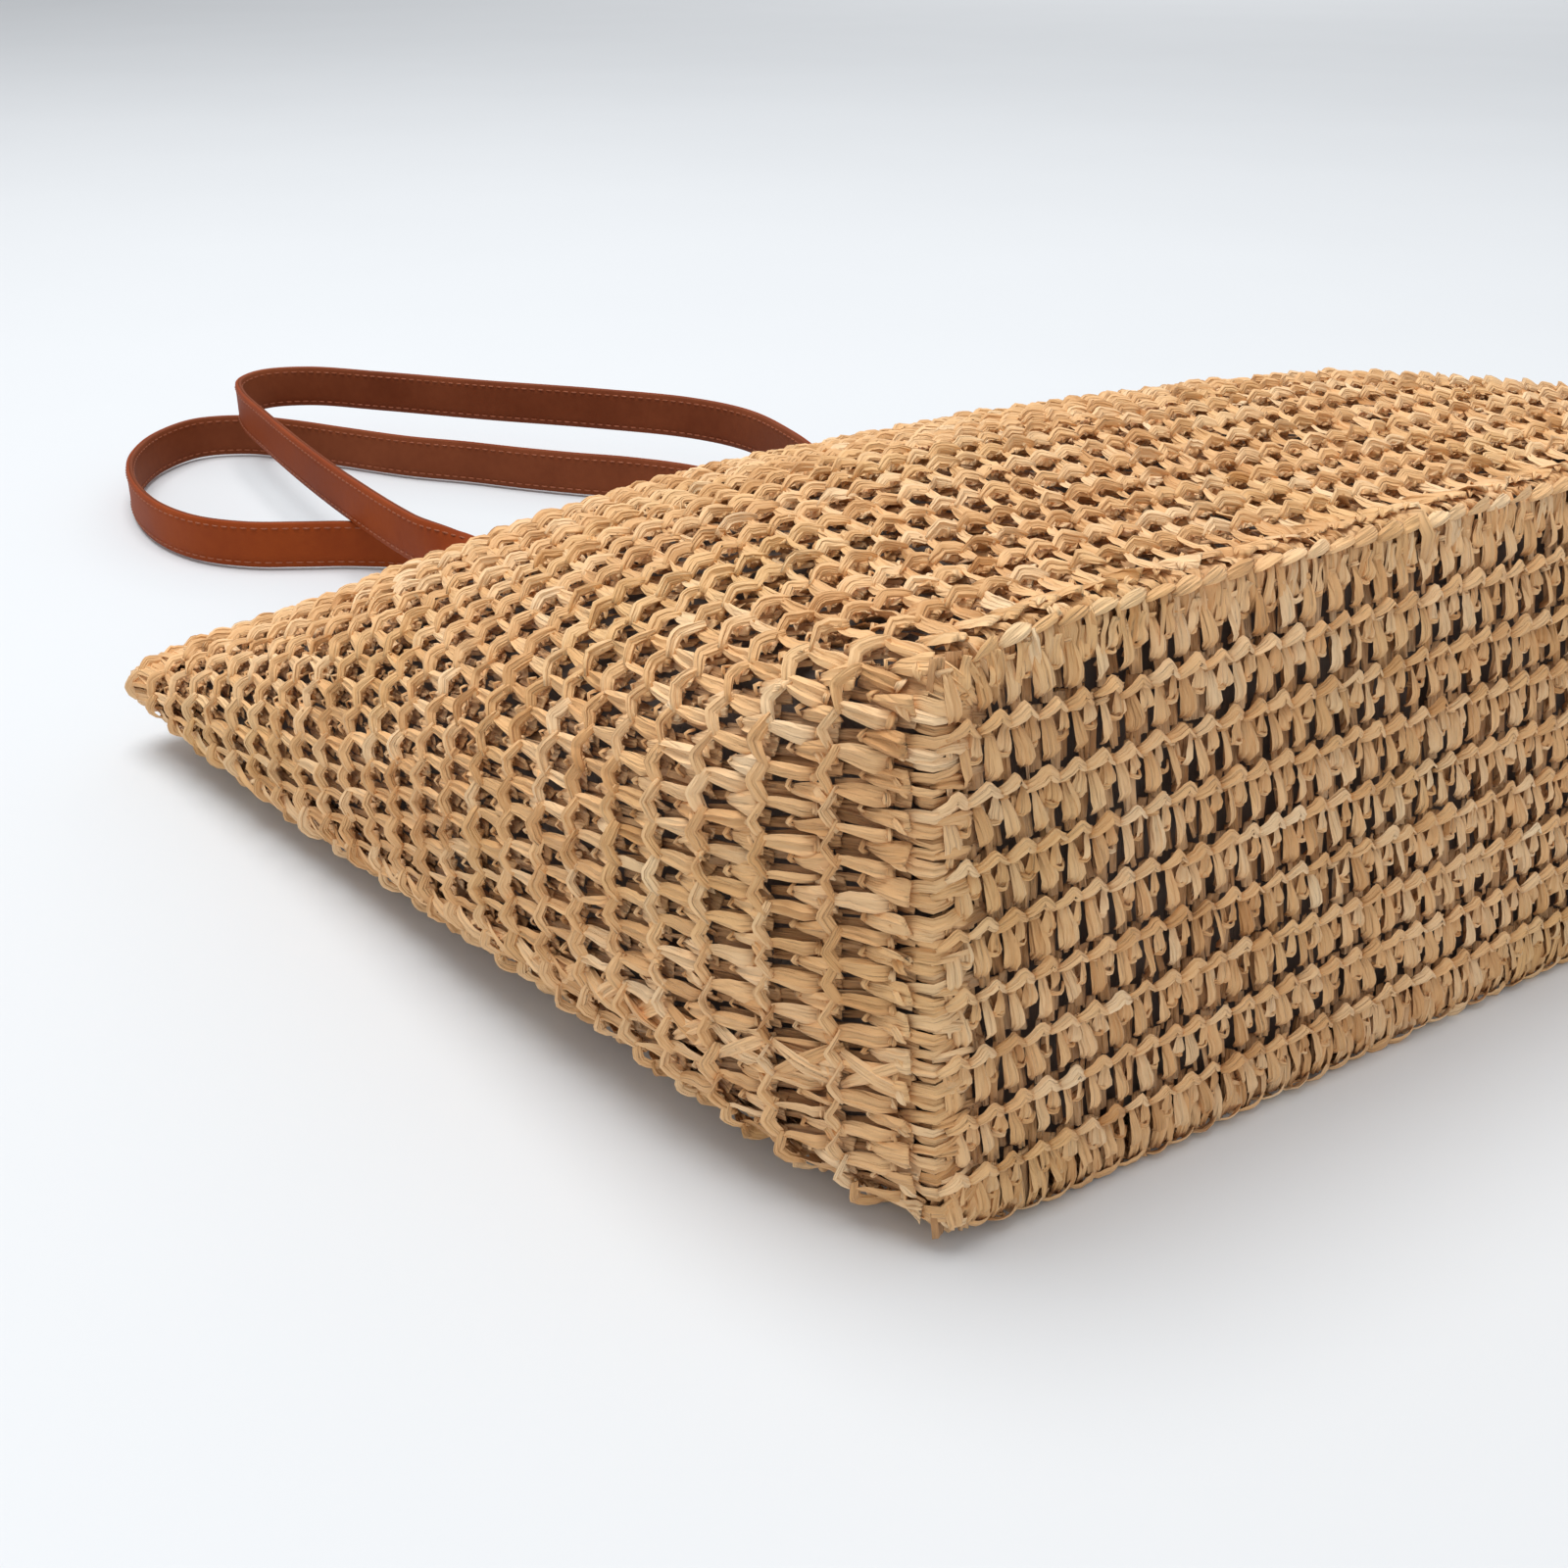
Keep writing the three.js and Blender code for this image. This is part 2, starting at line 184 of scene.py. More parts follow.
def angle_at(share, turn):
    """The angle at a share of the bag's length and a share of the way round."""
    whole = np.floor(turn)
    column = (turn - whole) * TABLE_STEPS
    i = np.clip(column.astype(int), 0, TABLE_STEPS - 1)
    row = np.clip(share, 0, 1) * (len(TABLE_SHARES) - 1)
    k = np.clip(row.astype(int), 0, len(TABLE_SHARES) - 2)
    past_i = column - i
    past_k = row - k
    low = ANGLE_TABLE[k, i] * (1 - past_i) + ANGLE_TABLE[k, i + 1] * past_i
    high = ANGLE_TABLE[k + 1, i] * (1 - past_i) + ANGLE_TABLE[k + 1, i + 1] * past_i
    return low * (1 - past_k) + high * past_k - 2 * math.pi * whole


def body_surface(u, v):
    """Points and outward directions of the body at stitch u and round v, counted from the base."""
    share = WALL_SHARES[0] + (WALL_SHARES[1] - WALL_SHARES[0]) * v / ROUNDS
    point, outward, _ = wall_frame(share, angle_at(share, u / STITCHES))
    return point, outward


BASE_OUT = np.array([0, -1, LEAN / BASE_HEIGHT]) / math.hypot(1, LEAN / BASE_HEIGHT)
BASE_EDGE = 3.0  # the base's rows stop this far inside its edge
BASE_WIDTH = 2 * (STATIONS["halfWidth"][0] - BASE_EDGE)
BASE_PITCH = BASE_WIDTH / BASE_STITCHES
BASE_ROW = (BASE_HEIGHT - 2 * BASE_EDGE) / BASE_ROWS


def base_surface(u, v):
    """Points of the base at stitch u and row v, counted from its top left corner."""
    x = BASE_PITCH * u - BASE_WIDTH / 2
    z = BASE_HEIGHT - BASE_EDGE - BASE_ROW * v
    point = np.stack([x, BASE_Y + z * LEAN / BASE_HEIGHT, z], -1)
    return point, np.broadcast_to(BASE_OUT, point.shape)


def rounded_edge(point, face_out, far_out, quarter_turns, face_run, far_run, v):
    """A rounded edge between two faces, which runs on past both.

    v is 0 where it meets the first face and 1 where it meets the second.
    """
    reach = EDGE_RADIUS * quarter_turns * math.pi / 2
    centre = point - EDGE_RADIUS * (face_out + far_out)
    turn = (np.clip(v, 0, 1) * quarter_turns * math.pi / 2)[..., None]
    outward = face_out * np.cos(turn) + far_out * np.sin(turn)
    before = (np.maximum(-v, 0) * reach)[..., None]
    past = (np.maximum(v - 1, 0) * reach)[..., None]
    return centre + EDGE_RADIUS * outward + before * face_run + past * far_run, outward


def base_edge_surface(u, v):
    """The rounded edge between the base and the walls: v 0 faces with the base, and 1 with the wall."""
    nowhere = np.zeros_like(u)
    point, wall_out, run = wall_frame(nowhere, angle_at(nowhere, u / STITCHES))
    wall_out = unit(wall_out - (wall_out @ BASE_OUT)[..., None] * BASE_OUT)
    return rounded_edge(point, BASE_OUT, wall_out, 1, -wall_out, run, v)


def rim_surface(u, v):
    """The rounded edge of the mouth: v 0 faces with the outside, 1 with the inside."""
    end = np.ones_like(u)
    point, wall_out, run = wall_frame(end, angle_at(end, u / STITCHES))
    return rounded_edge(point, wall_out, run, 2, -run, -run, v)


# ---- raffia ribbons ----
# A stitch is a set of ribbons, each with its number of sections and a few points to run through. A point is
# stitches across, rows along, millimetres above the surface, and the ribbon's width there in millimetres.
# The ridges stand on edge: TILT says how far each turns from lying flat, in radians.
# On the body, rows along run from the ridge on the mouth's side (0) to the ridge on the base's side (1).
BODY_STITCH = {
    "ridge": (9, [(0.08, 0.09, 1.7, 2.0), (0.4, 0.03, 2.9, 2.8), (0.66, -0.04, 3.4, 3.0),
                  (0.76, -0.04, 3.4, 3.0), (1.02, 0.03, 2.9, 2.8), (1.32, 0.09, 1.7, 2.0)]),
    "leaf": (8, [(0.18, 0.0, 2.2, 1.8), (0.22, 0.16, 1.1, 3.2), (0.27, 0.38, 0.7, 4.0),
                 (0.3, 0.6, 0.6, 4.4), (0.32, 0.78, -0.9, 3.8)]),
    "leaf_curl": (5, [(0.08, 0.71, -0.9, 1.2), (0.31, 0.77, 0.9, 1.7), (0.54, 0.71, -0.9, 1.2)]),
    "ring": (5, [(0.56, 0.42, -0.9, 0.9), (0.75, 0.375, 0.8, 1.2), (0.94, 0.42, -0.9, 0.9)]),
    "fan": (8, [(0.78, 0.34, -1.0, 1.8), (0.76, 0.52, 0.1, 3.2), (0.73, 0.72, 0.7, 4.4),
                (0.7, 0.9, 1.2, 5.6), (0.66, 1.04, 1.4, 5.4)]),
    "spike": (6, [(0.7, 0.82, 0.9, 2.0), (0.84, 0.9, 1.6, 2.4), (0.98, 0.95, 1.7, 1.7),
                  (1.12, 1.0, 0.9, 0.5)]),
    "behind_leaf": (5, [(0.25, -0.05, -1.4, 3.2), (0.26, 0.4, -2.2, 3.7), (0.27, 0.8, -1.7, 3.9),
                        (0.26, 1.05, -0.8, 3.2)]),
    "behind_fan": (5, [(0.84, -0.05, -1.4, 2.2), (0.85, 0.3, -2.5, 2.4), (0.8, 0.7, -1.7, 3.2),
                       (0.78, 1.05, -0.8, 3.0)]),
}
# On the base, rows along run down from one ridge (0) to the next (1).
BASE_STITCH = {
    "ridge": (9, [(-0.08, 0.13, 1.2, 1.8), (0.2, 0.04, 2.6, 2.6), (0.44, -0.07, 3.1, 2.9),
                  (0.52, -0.07, 3.1, 2.9), (0.76, 0.04, 2.6, 2.6), (1.06, 0.13, 1.2, 1.8)]),
    "post": (8, [(0.99, 0.07, 0.6, 2.2), (0.95, 0.2, 0.2, 2.0), (0.9, 0.34, 0.8, 3.4),
                 (0.87, 0.46, 1.0, 3.8), (0.86, 0.54, -0.7, 2.9)]),
    "collar": (6, [(0.58, 0.49, -0.5, 1.8), (0.74, 0.53, 1.0, 1.3), (0.87, 0.54, 1.5, 1.1),
                   (1.0, 0.525, 1.0, 1.3), (1.16, 0.475, -0.5, 1.8)]),
    "knot": (5, [(0.18, 0.25, -1.0, 1.6), (0.42, 0.2, 0.8, 1.3), (0.66, 0.245, -1.0, 1.6)]),
    "leaf": (8, [(0.38, 0.18, -0.4, 1.6), (0.41, 0.36, 0.6, 2.8), (0.46, 0.56, 1.3, 3.7),
                 (0.5, 0.75, 1.4, 3.8), (0.53, 0.91, -0.6, 1.8)]),
    "side_strand": (5, [(0.58, 0.24, -0.6, 1.2), (0.64, 0.5, 0.1, 1.7), (0.7, 0.88, -1.0, 1.4)]),
    "behind_post": (5, [(0.84, 0.0, -1.8, 2.8), (0.84, 0.5, -1.8, 3.3), (0.86, 1.04, -0.8, 2.8)]),
    "behind_leaf": (5, [(0.2, 0.02, -1.6, 2.8), (0.2, 0.5, -2.2, 3.2), (0.24, 1.0, -1.6, 3.0)]),
}
# Round the base's edge and over the rim, rows along run from one face (0) to the other (1),
# and go on past both.
EDGE_STITCH = {
    "chain": (8, [(-0.45, 0.62, 0.0, 1.4), (-0.15, 0.48, 1.1, 2.9), (0.15, 0.4, 1.4, 3.4),
                  (0.45, 0.32, 1.1, 2.9), (0.75, 0.18, 0.0, 1.4)]),
    "base_wrap": (6, [(0.1, 0.4, 0.3, 2.6), (0.16, -0.4, 0.5, 2.8), (0.2, -1.0, 0.5, 3.0),
                      (0.22, -1.7, 0.3, 2.8), (0.24, -2.2, -1.0, 2.0)]),
    "base_strand": (6, [(0.7, 0.4, 0.1, 2.6), (0.66, -0.4, 0.3, 2.8), (0.62, -1.0, 0.3, 2.8),
                        (0.6, -1.8, -1.0, 2.0)]),
    "wall_wrap": (6, [(0.1, 0.5, 0.3, 2.6), (0.25, 1.2, 0.3, 2.9), (0.4, 1.8, 0.5, 3.2),
                      (0.55, 2.4, -0.8, 2.4)]),
    "wall_strand": (6, [(0.75, 0.5, 0.0, 2.6), (0.6, 1.2, 0.1, 2.9), (0.45, 1.8, 0.3, 3.0),
                        (0.3, 2.4, -0.9, 2.4)]),
    "behind_wrap": (5, [(0.5, -1.8, -2.0, 4.4), (0.5, -0.6, -1.0, 5.4), (0.5, 0.4, -0.5, 5.6),
                        (0.5, 1.6, -1.6, 4.6)]),
}
# At the base's two short ends the rows turn, and the raffia wraps over the edge with no chain.
SHORT_EDGE_STITCH = {
    "wrap": (8, [(0.05, -1.5, -0.7, 1.8), (0.2, -0.7, 0.6, 2.8), (0.3, 0.2, 0.9, 2.9),
                 (0.3, 1.0, 0.8, 2.6), (0.42, 1.6, 0.5, 2.8), (0.5, 2.4, -0.8, 2.0)]),
    "fringe": (6, [(0.62, -1.7, -0.6, 2.6), (0.5, -1.0, 0.9, 3.2), (0.42, -0.3, 1.3, 2.2),
                   (0.5, 0.4, 0.3, 1.4)]),
    "leaf": (7, [(0.7, -0.5, -0.5, 1.2), (0.7, 0.1, 0.7, 2.6), (0.66, 0.9, 1.2, 3.4),
                 (0.58, 1.6, 0.9, 3.2), (0.5, 2.3, -0.8, 2.0)]),
    "strand": (6, [(0.9, -1.2, -0.8, 1.8), (0.95, -0.4, 0.1, 2.4), (0.95, 0.5, 0.2, 2.6),
                   (0.9, 1.4, -0.6, 2.0)]),
    "tuck": (5, [(0.3, -0.7, -0.4, 1.4), (0.62, -0.35, 0.9, 1.9), (0.95, -0.6, -0.4, 1.4)]),
    "behind_wrap": (5, [(0.5, -2.6, -1.6, 4.0), (0.5, -1.2, -1.2, 4.4), (0.5, 0.2, -0.9, 4.4),
                        (0.5, 1.6, -1.6, 4.0)]),
}
# Where each round is joined, slip stitches cover the gap.
SEAM_STITCH = {
    "slip": (7, [(-0.5, -0.1, 0.6, 2.0), (-0.2, 0.25, 1.9, 3.4), (0.15, 0.6, 2.2, 3.8),
                 (0.5, 1.0, 0.6, 2.4)]),
    "slip_back": (7, [(0.6, 0.05, 0.4, 2.0), (0.2, 0.35, 1.6, 3.2), (-0.2, 0.7, 1.8, 3.2),
                      (-0.5, 1.05, 0.2, 2.0)]),
    "cover": (5, [(0.0, 0.0, 0.2, 3.2), (0.05, 0.5, 0.8, 4.2), (0.1, 1.0, 0.2, 3.2)]),
}
RIM_STITCH = {
    "wrap": (12, [(0.0, -1.7, -0.6, 3.0), (0.05, -1.0, 1.3, 4.8), (0.15, -0.2, 2.3, 5.2),
                  (0.35, 0.4, 2.6, 5.2), (0.55, 1.0, 1.9, 4.6), (0.65, 1.6, 0.4, 4.2),
                  (0.7, 2.0, -0.8, 2.6)]),
    "strand": (10, [(0.62, -1.5, -0.8, 2.6), (0.66, -0.7, 0.9, 3.8), (0.72, 0.0, 1.7, 4.2),
                    (0.85, 0.6, 1.9, 4.0), (1.0, 1.2, 1.0, 3.4), (1.1, 1.8, -0.9, 2.4)]),
    "chain": (8, [(-0.4, 0.5, 1.6, 1.4), (-0.1, 0.46, 2.9, 3.2), (0.2, 0.4, 3.3, 4.0),
                  (0.5, 0.33, 2.9, 3.2), (0.78, 0.28, 1.6, 1.4)]),
}
TILT = {"body": {"ridge": -1.05}, "base": {"ridge": -0.65}}
STANDING = ("ridge", "chain")
RIDGE_FOLDS = 0.35  # how much the ridges' ribbons are folded, next to the others
RING_ACROSS = np.array([-1, -0.5, 0, 0.5, 1, 0.6, 0, -0.6])
RING_TOP = 5  # the first points of a ring are a ribbon's upper face
SHARP_FOLDS = (0, 1, 3, 4)
CAP_QUADS = np.array([[0, 1, 2, 7], [2, 5, 6, 7], [2, 3, 4, 5]])
CROWN = 0.075  # how far a ribbon's middle stands above its edges, as a share of its width
PLEATS = np.array([0.12, -0.1, 0.12])  # folds along a ribbon, as shares of its width
NARROWEST = 0.3  # a ribbon's least width in its path, in millimetres
# How unevenly the ribbons lie: shifts and skews in stitches across and rows along, the rest in millimetres.
SHIFT_ACROSS = 0.035
SKEW_ACROSS = 0.07
SHIFT_ALONG = 0.018
SKEW_ALONG = 0.03
HEIGHT_SPREAD = 0.22
RIPPLE = 0.1
WIDTH_SPREAD = 0.13  # as a share of the width, kept within WIDTH_LIMITS
WIDTH_LIMITS = (0.6, 1.4)
ROLL_SPREAD = 0.28  # in radians, as is the twist from one end to the other
TWIST_SPREAD = 0.6
PLEAT_RANGE = (0.3, 1.3)
PLEAT_SPREAD = 0.07
TEXTURE_RANGE = 900  # each ribbon shows another part of the raffia's texture
BEHIND_SLACK = 1.7  # the hidden ribbons lie less evenly
PRESS_DEPTH = -1.6  # height of the crochet under a strap end
PRESS_KEPT = 0.25  # how much of a ribbon's height still shows in pressed crochet
PRESS_BEFORE = 14.0  # the pressed crochet starts this far before the strap end
PRESS_MARGIN = 5.0  # and rises to its full height over this distance
FACING_DOWN = 0.2  # a surface that faces down by more than this can rest on the floor
FLOOR_DIP = 1.2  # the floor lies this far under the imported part's lowest plane
PAINTED_SHADE_FROM = 0.6  # painted shade: ribbons lower than this are painted darker, as shade deep in the crochet's recesses, and fully so at the span below further down
PAINTED_SHADE_SPAN = 3.0
rng = np.random.default_rng(7)


def eased_path(points, sections):
    """A smooth path through a few points, at evenly spaced sections."""
    points = np.array(points, float)
    ends = np.vstack([2 * points[0] - points[1], points, 2 * points[-1] - points[-2]])
    at = np.linspace(0, len(points) - 1, sections)
    i = np.minimum(at.astype(int), len(points) - 2)
    t = (at - i)[:, None]
    p0, p1, p2, p3 = ends[i], ends[i + 1], ends[i + 2], ends[i + 3]
    bend = (2 * p0 - 5 * p1 + 4 * p2 - p3) * t + (3 * p1 - p0 - 3 * p2 + p3) * t * t
    path = p1 + 0.5 * t * (p2 - p0 + bend)
    path[:, 3] = np.maximum(path[:, 3], NARROWEST)
    return path


class Cloth:
    """Gathers ribbons into one mesh."""

    def __init__(self):
        self.points, self.quads, self.uvs, self.tones, self.recess_shades = [], [], [], [], []
        self.count = 0

    def add(self, points, uvs, tones, recess_shades):
        """Adds ribbons given as (ribbon, section, ring point) arrays, closed at both ends."""
        ribbons, sections, ring = points.shape[:3]
        k, r = np.meshgrid(np.arange(sections - 1), np.arange(ring), indexing="ij")
        here, beside = k * ring + r, k * ring + (r + 1) % ring
        side = np.stack([here, beside, beside + ring, here + ring], -1).reshape(-1, 4)
        first = CAP_QUADS[:, ::-1]
        last = CAP_QUADS + (sections - 1) * ring
        one = np.vstack([side, first, last])
        starts = self.count + np.arange(ribbons) * sections * ring
        self.quads.append((one[None] + starts[:, None, None]).reshape(-1, 4))
        self.points.append(points.reshape(-1, 3))
        self.uvs.append(uvs.reshape(-1, 2))
        self.tones.append(np.repeat(tones, sections * ring))
        self.recess_shades.append(np.repeat(recess_shades.ravel(), ring))
        self.count += ribbons * sections * ring

    def mesh(self, name, material):
        """The gathered ribbons as one object, with their texture coordinates, tones and amounts of painted
        recess shade.
        """
        points = np.vstack(self.points) * MM
        quads = np.vstack(self.quads)[:, ::-1]
        obj = quad_mesh(name, points, quads, material)
        layer = obj.data.uv_layers.new(name="ribbon")
        layer.data.foreach_set("uv", np.vstack(self.uvs)[quads.ravel()].astype(np.float32).ravel())
        # The depth attribute carries the painted shade of the recesses.
        for attribute, values in (("tone", self.tones), ("depth", self.recess_shades)):
            data = obj.data.attributes.new(attribute, "FLOAT", "POINT").data
            data.foreach_set("value", np.concatenate(values).astype(np.float32))
        crease_ribbons(obj.data)
        return obj


def crease_ribbons(mesh):
    """Marks the folds along each ribbon as sharp. Points of neighbouring sections are a ring apart."""
    ends = np.empty(2 * len(mesh.edges), np.int32)
    mesh.edges.foreach_get("vertices", ends)
    ends = np.sort(ends.reshape(-1, 2), axis=1)
    ring = len(RING_ACROSS)
    lengthways = ends[:, 1] - ends[:, 0] == ring
    sharp = lengthways & np.isin(ends[:, 0] % ring, SHARP_FOLDS)
    data = mesh.attributes.new("sharp_edge", "BOOLEAN", "EDGE").data
    data.foreach_set("value", sharp)


def quad_mesh(name, points, quads, material):
    """A smooth object made of quads, from points in metres."""
    mesh = bpy.data.meshes.new(name)
    mesh.vertices.add(len(points))
    mesh.vertices.foreach_set("co", np.asarray(points, np.float32).ravel())
    mesh.loops.add(quads.size)
    mesh.loops.foreach_set("vertex_index", quads.astype(np.int32).ravel())
    mesh.polygons.add(len(quads))
    mesh.polygons.foreach_set("loop_start", np.arange(0, quads.size, 4, dtype=np.int32))
    mesh.polygons.foreach_set("use_smooth", np.ones(len(quads), bool))
    mesh.update(calc_edges=True)
    mesh.materials.append(material)
    obj = bpy.data.objects.new(name, mesh)
    bpy.context.scene.collection.objects.link(obj)
    return obj


def press(ground, outward, height):
    """The floor and the riveted strap ends hold the crochet down flat."""
    down = np.maximum(-outward[..., 2], FACING_DOWN)
    on_floor = np.minimum(height, (ground[..., 2] + FLOOR_DIP) / down)
    height = np.where(outward[..., 2] < -FACING_DOWN, on_floor, height)
    beside = np.abs(np.abs(ground[..., 0]) - STRAP_SPACING / 2) - STRAP_WIDTH / 2
    before = BASE_Y + BAG_LENGTH * END_SHARES[0] - PRESS_BEFORE - ground[..., 1]
    free = np.clip(np.maximum(beside, before) / PRESS_MARGIN, 0, 1)
    pressed = np.minimum(height, PRESS_DEPTH + PRESS_KEPT * height)
    return pressed * (1 - free) + height * free


def rolled_directions(middle, outward, roll):
    """A ribbon's directions across and above, turned about the way it runs."""
    travel = unit(np.gradient(middle, axis=1))
    across = unit(np.cross(outward, travel))
    above = np.cross(travel, across)
    cosine = np.cos(roll)[..., None]
    sine = np.sin(roll)[..., None]
    return across * cosine + above * sine, above * cosine - across * sine


def ring_heights(width, folded):
    """How far each ring point stands above a ribbon's middle, from its crown, pleats and thickness."""
    cells = len(width)
    crown = CROWN * (1 - RING_ACROSS**2) * width[..., None]
    creases = np.zeros((cells, 1, len(RING_ACROSS)))
    pleats = PLEATS * rng.uniform(*PLEAT_RANGE, (cells, 1)) + rng.normal(0, PLEAT_SPREAD, (cells, 3))
    creases[:, 0, 1:4] = pleats * folded
    heights = crown + creases * width[..., None]
    heights[..., RING_TOP:] = crown[..., RING_TOP:] - RIBBON
    for edge in (0, RING_TOP - 1):
        heights[..., edge] -= RIBBON / 3
    return heights


def ribbon_uvs(middle, width):
    """Texture coordinates in millimetres: along the ribbon, then across it."""
    cells, sections = width.shape
    steps = np.linalg.norm(np.diff(middle, axis=1, prepend=middle[:, :1]), axis=2)
    length = np.cumsum(steps, axis=1)
    uvs = np.empty((cells, sections, len(RING_ACROSS), 2))
    uvs[..., 0] = length[..., None] + rng.uniform(0, TEXTURE_RANGE, (cells, 1, 1))
    uvs[..., 1] = RING_ACROSS * width[..., None] / 2 + rng.uniform(0, TEXTURE_RANGE, (cells, 1, 1))
    return uvs


def lay_ribbons(cloth, surface, stitch, u0, v0, v_sign=1, tilt=None):
    """Lays every ribbon of a stitch at each cell (u0, v0) of a surface, each one a little different."""
    cells = len(u0)
    for name, (sections, points) in stitch.items():
        path = eased_path(points, sections)
        share = np.linspace(-0.5, 0.5, sections)
        slack = BEHIND_SLACK if name.startswith("behind") else 1
        spread = rng.normal(0, 1, (6, cells, 1)) * slack
        u = u0[:, None] + path[:, 0] + SHIFT_ACROSS * spread[0] + SKEW_ACROSS * spread[1] * share
        v = v0[:, None] + v_sign * (path[:, 1] + SHIFT_ALONG * spread[2] + SKEW_ALONG * spread[3] * share)
        height = path[:, 2] + HEIGHT_SPREAD * spread[4] + rng.normal(0, RIPPLE, (cells, sections))
        width = path[:, 3] * np.clip(1 + WIDTH_SPREAD * spread[5], *WIDTH_LIMITS)
        ground, outward = surface(u, v)
        height = press(ground, outward, height)
        middle = ground + outward * height[..., None]
        roll = rng.normal(0, ROLL_SPREAD, (cells, 1)) + rng.normal(0, TWIST_SPREAD, (cells, 1)) * share
        across, above = rolled_directions(middle, outward, roll + (tilt or {}).get(name, 0))
        lift = ring_heights(width, RIDGE_FOLDS if name in STANDING else 1)
        shape = middle[:, :, None] + across[:, :, None] * (RING_ACROSS * width[..., None] / 2)[..., None]
        shape = shape + above[:, :, None] * lift[..., None]
        uvs = ribbon_uvs(middle, width)
        # Painted shade: the lower a ribbon lies, the darker the material paints it, as shade in the
        # recesses.
        recess_shades = np.clip((PAINTED_SHADE_FROM - height) / PAINTED_SHADE_SPAN, 0, 1)
        cloth.add(shape, uvs, rng.normal(0, 1, cells), recess_shades)


# ---- materials ----
def linear(red, green, blue):
    """A colour given as 0 to 255 on screen, as the shader takes it."""
    def one(value):
        value = value / 255
        return value / 12.92 if value <= 0.04045 else ((value + 0.055) / 1.055) ** 2.4

    return (one(red), one(green), one(blue), 1)


class Nodes:
    """A material's nodes, with short ways to make and join them."""

    def __init__(self, name):
        self.material = bpy.data.materials.new(name)
        self.material.use_nodes = True
        self.tree = self.material.node_tree
        self.shader = self.tree.nodes["Principled BSDF"]

    def add(self, kind, inputs=None, **settings):
        """A new node with its settings, and its inputs joined to other nodes or given a value."""
        node = self.tree.nodes.new(kind)
        for key, value in settings.items():
            setattr(node, key, value)
        for key, value in (inputs or {}).items():
            if isinstance(value, bpy.types.NodeSocket):
                self.tree.links.new(value, node.inputs[key])
            else:
                node.inputs[key].default_value = value
        return node

    def set(self, **inputs):
        """Joins or sets the shader's own inputs."""
        for key, value in inputs.items():
            socket = self.shader.inputs[key.replace("_", " ")]
            if isinstance(value, bpy.types.NodeSocket):
                self.tree.links.new(value, socket)
            else:
                socket.default_value = value

    def ramp(self, factor, stops):
        node = self.add("ShaderNodeValToRGB", {"Fac": factor})
        elements = node.color_ramp.elements
        elements[0].position, elements[0].color = stops[0]
        elements[1].position, elements[1].color = stops[-1]
        for position, color in stops[1:-1]:
            elements.new(position).color = color
        return node.outputs["Color"]

    def math(self, operation, first, second=0.0, third=0.0):
        node = self.add("ShaderNodeMath", {0: first, 1: second, 2: third}, operation=operation)
        return node.outputs[0]

    def mix(self, factor, first, second, blend="MIX"):
        node = self.add("ShaderNodeMix", data_type="RGBA", blend_type=blend)
        for index, value in ((0, factor), (6, first), (7, second)):
            if isinstance(value, bpy.types.NodeSocket):
                self.tree.links.new(value, node.inputs[index])
            else:
                node.inputs[index].default_value = value
        return node.outputs[2]

    def noise(self, vector, scale, detail=3.0, roughness=0.5):
        inputs = {"Vector": vector, "Scale": scale, "Detail": detail, "Roughness": roughness}
        return self.add("ShaderNodeTexNoise", inputs).outputs["Fac"]

    def waves(self, vector, scale, distortion, direction):
        inputs = {"Vector": vector, "Scale": scale, "Distortion": distortion}
        return self.add("ShaderNodeTexWave", inputs, bands_direction=direction).outputs["Fac"]

    def vary(self, shade, texture, amount):
        """A shade made lighter or darker by up to half an amount, as a texture goes."""
        return self.math("MULTIPLY_ADD", texture, amount, self.math("SUBTRACT", shade, amount / 2))

    def stretched(self, vector, scale):
        return self.add("ShaderNodeMapping", {"Vector": vector, "Scale": scale}).outputs["Vector"]

    def bump(self, height, strength, distance, normal=None):
        inputs = {"Height": height, "Strength": strength, "Distance": distance}
        if normal is not None:
            inputs["Normal"] = normal
        return self.add("ShaderNodeBump", inputs).outputs["Normal"]


RIBBON_TONE = 0.085  # how far one ribbon's shade is from another's
FIBRE_SHADE = 0.22
PATCH_SHADE = 0.35
PLEAT_DEPTH = 0.12
GREENER_SHARE = 0.22
# Painted shade: how far the lowest ribbons are darkened towards brown, as shade in the recesses.
RECESS_PAINTED_SHADE = 0.6
# Painted shade: how dark the thin lines in the pleats' valleys are.
CREASE_PAINTED_SHADE = 0.16


